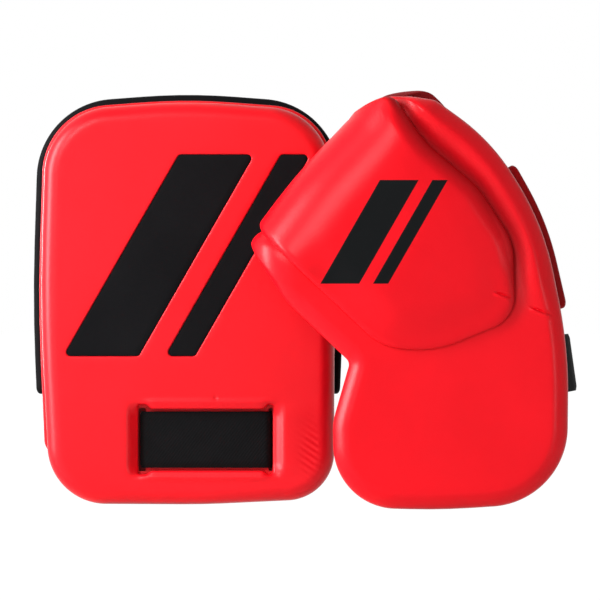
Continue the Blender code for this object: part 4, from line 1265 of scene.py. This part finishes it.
INK = (0.0072, 0.0078, 0.0080, 1)
printed_foam = foam_skin("printed_red_foam", RED, DEEP_RED, gloss=0.33, shine=1.26,
                         print_mask=printed_bars, ink=INK, cut_and_shade=CUT_AND_SHADE_RED)
shell_pinched = fine_grid((0.026, 0.150), pitch=0.0007, columns=26, rows=18)
shell_form = moulded(shell_line, shell_profile, spacing=0.0035, extra=shell_pinched)
# Painted shade along the shell's outer edge, in the same darker colour as on the base.
shell_shade_layer = shell_form.verts.layers.float.new("cut_and_shade")
for vert in shell_form.verts:
    vert[shell_shade_layer] = painted_valley_shade(vert.co.x, vert.co.z)
    share = min(vert.co.y / SHELL_THICKNESS, 1.0)
    seat = groove(vert.co.x, vert.co.z) + bevel_drop(vert.co.x, vert.co.z)
    vert.co.y += shell_drop(vert.co.x, vert.co.z) * (1 - share) + seat * share
shell = piece("right_shell", fold(shell_form), printed_foam, RIGHT_PLACE)
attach(shell, "right_pad")
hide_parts("right_finger_shell")


# Right second layer: a sheet of red closed-cell foam behind the palm and the wrist. It is die cut with
# square edges and bonded to the back of the base, as far as the fold.
RIGHT_SECOND_FRONT = BASE_REAR + CLEARANCE
RIGHT_SECOND_REAR = RIGHT_SECOND_FRONT + 0.014
SECOND_START = 0.112
right_second_corners = [
    (-0.0842, 0.0040, 0.046), (-0.010, 0.002, 0.5), (0.0805, 0.0080, 0.058),
    (0.0805, 0.118, 0.34), (0.0600, 0.207, 0.20),
    fold_point(BASE_END - 0.004, SECOND_START, 0.012), fold_point(BASE_LEFT + 0.002, SECOND_START, 0.012),
    (-0.0850, 0.060, 0.050),
]
right_second_line = rounded(right_second_corners, 0.002)
right_second_profile = plate_profile(RIGHT_SECOND_FRONT, RIGHT_SECOND_REAR)
right_second_form = moulded(right_second_line, right_second_profile, spacing=0.012)
right_second = piece("right_second_layer", right_second_form, red_foam, RIGHT_PLACE)
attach(right_second, "right_pad")
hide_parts("right_back_board")


# Right side rim: a strip of darker red foam that guards the little finger. It is bonded behind the pad's
# outer edge and stands a little proud of it.
RIGHT_LINING_FRONT = RIGHT_SECOND_REAR + CLEARANCE
STRIP_PROUD = 0.0076
STRIP_WALL = 0.014
STRIP_DEPTH = 0.022
STRIP_ROUND = 0.004
STRIP_ENDS = (0.1515, 0.2435)
STRIP_RED = (0.40, 0.001, 0.003, 1)
STRIP_DEEP = (0.34, 0.0008, 0.0025, 1)
lower = (0.0825, 0.118)
upper = (0.0620, 0.207)
shoulder = fold_point(*SHOULDER, 0)


def level_point(low, high, height):
    """Point at a height on the line between two corners."""
    share = (height - low[1]) / (high[1] - low[1])
    return (low[0] + (high[0] - low[0]) * share, height, 0)


strip_corners = [
    level_point(lower, upper, STRIP_ENDS[0]), (*upper, 0.20), level_point(upper, shoulder, STRIP_ENDS[1]),
]
strip_line = rounded(strip_corners, 0.003, closed=False)
strip_section = bar_section(STRIP_WALL, STRIP_DEPTH, STRIP_ROUND)
strip_middle = RIGHT_LINING_FRONT + STRIP_DEPTH / 2
strip_form = swept(strip_line, strip_section, STRIP_PROUD - STRIP_WALL / 2, strip_middle, 0.006)
strip_foam = foam_skin("strip_foam", STRIP_RED, STRIP_DEEP, gloss=0.5, shine=1.2)
strip = piece("right_side_strip", strip_form, strip_foam, RIGHT_PLACE)
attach(strip, "right_pad")
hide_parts("right_side_rim")


# Right channel lining: black knit laminated inside the fold, from the knuckles round the fingers to the
# flap's end. It lies inside the bend, so it is cut shorter than the base by what the bend takes up.
CHANNEL_FRONT = BASE_REAR + CLEARANCE
CHANNEL_SIDES = (0.0045, 0.120)
CHANNEL_WIDTH = 0.1155
CHANNEL_TOP = 0.110
CHANNEL_FOOT = FLAP_END + 0.007
CHANNEL_ROUND = 0.012
CHANNEL_TAKEN = pi * (CHANNEL_FRONT + LINING_THICKNESS / 2)
low_side, high_side = CHANNEL_SIDES
channel_corners = [
    fold_point(low_side, CHANNEL_TOP, CHANNEL_ROUND), fold_point(high_side, CHANNEL_TOP, CHANNEL_ROUND),
    fold_point(high_side, CHANNEL_FOOT, CHANNEL_ROUND), fold_point(low_side, CHANNEL_FOOT, CHANNEL_ROUND),
]
channel_line = rounded(channel_corners, 0.002)
channel_form = moulded(channel_line, lining_profile(CHANNEL_FRONT), spacing=0.004)
channel = piece("right_channel_sheet", fold(lay_weave(channel_form)), knit, RIGHT_PLACE)
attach(channel, "right_pad")
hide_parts("right_channel_lining")
channel_area = flat_size(channel_line[0])[1] - CHANNEL_WIDTH * CHANNEL_TAKEN
channel_size = (CHANNEL_WIDTH, CHANNEL_TOP - CHANNEL_FOOT - CHANNEL_TAKEN)


# Right lining: the same black brushed knit, laminated to the back of the second layer where the palm
# and the wrist lie.
RIGHT_LINING_INSET = 0.007
RIGHT_LINING_REAR = RIGHT_LINING_FRONT + LINING_THICKNESS
right_lining_points = right_second_line[0] - right_second_line[1] * RIGHT_LINING_INSET
right_lining_line = (right_lining_points, right_second_line[1])
right_lining_form = moulded(right_lining_line, lining_profile(RIGHT_LINING_FRONT), spacing=0.010)
right_lining = piece("right_lining_sheet", lay_weave(right_lining_form), knit, RIGHT_PLACE)
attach(right_lining, "right_pad")
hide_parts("right_lining")
right_lining_size, right_lining_area = flat_size(right_lining_points)


# Right cuff pad: a thick foam cushion in the same grey knit cover, quilted across its middle and sewn
# to the lining at the wrist.
CUFF_SPOT = (-0.020, 0.033)
CUFF_THICKNESS = 0.016
cuff_corners = box_corners(CUFF_SPOT, width=0.084, height=0.062, radius=0.022)
cuff_front = RIGHT_LINING_REAR + CLEARANCE
cuff = cushion("right_cuff_cushion", cuff_corners, cuff_front, CUFF_THICKNESS, (CUFF_SPOT[1],), RIGHT_PLACE)
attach(cuff, "right_pad")
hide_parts("right_cuff_pad")


# Right knuckle pad: a small foam cushion in the same cover, sewn to the lining under the finger strap
# and set square to the fold.
KNUCKLE_THICKNESS = 0.008
knuckle_spot = fold_point(0.066, 0.133, 0)
knuckle_place = (RIGHT_PLACE[0] + knuckle_spot[0], RIGHT_PLACE[1] + RIGHT_LINING_REAR, knuckle_spot[1])
knuckle_corners = box_corners((0, 0), width=0.062, height=0.027, radius=0.012)
knuckle = cushion("right_knuckle_cushion", knuckle_corners, CLEARANCE, KNUCKLE_THICKNESS, (), knuckle_place,
                  -FOLD_ANGLE)
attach(knuckle, "right_pad")
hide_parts("right_knuckle_pad")


# Right finger strap: a band of the same ribbed black elastic, arched over the knuckle pad and sewn
# through the lining at both feet.
right_finger = elastic_band("right_finger_band", span=0.070, rise=0.034, width=0.024, ribs=7,
                            place=knuckle_place, tilt=-FOLD_ANGLE)
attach(right_finger, "right_pad")
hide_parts("right_finger_strap")


# Right wrist strap: the same black nylon webbing, sewn flat across the lining and flared out to go
# round the wrist. Its flap and patches close as the left ones do.
RIGHT_TILT = radians(-8)
right_carrier = (RIGHT_PLACE[0] + 0.0215, RIGHT_PLACE[1], 0.0976)
right_front_y = RIGHT_LINING_REAR + CLEARANCE + STRAP_THICKNESS / 2
wrist_band("right", feet=(0.053, 0.053), top=0.086, front_y=right_front_y, under_y=right_front_y + WRIST_ROOM,
           carrier=right_carrier, tilt=RIGHT_TILT)


sizes = {"cad": cad_box, "visual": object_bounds()}
sizes = {name: [list(corner) for corner in corners] for name, corners in sizes.items()}
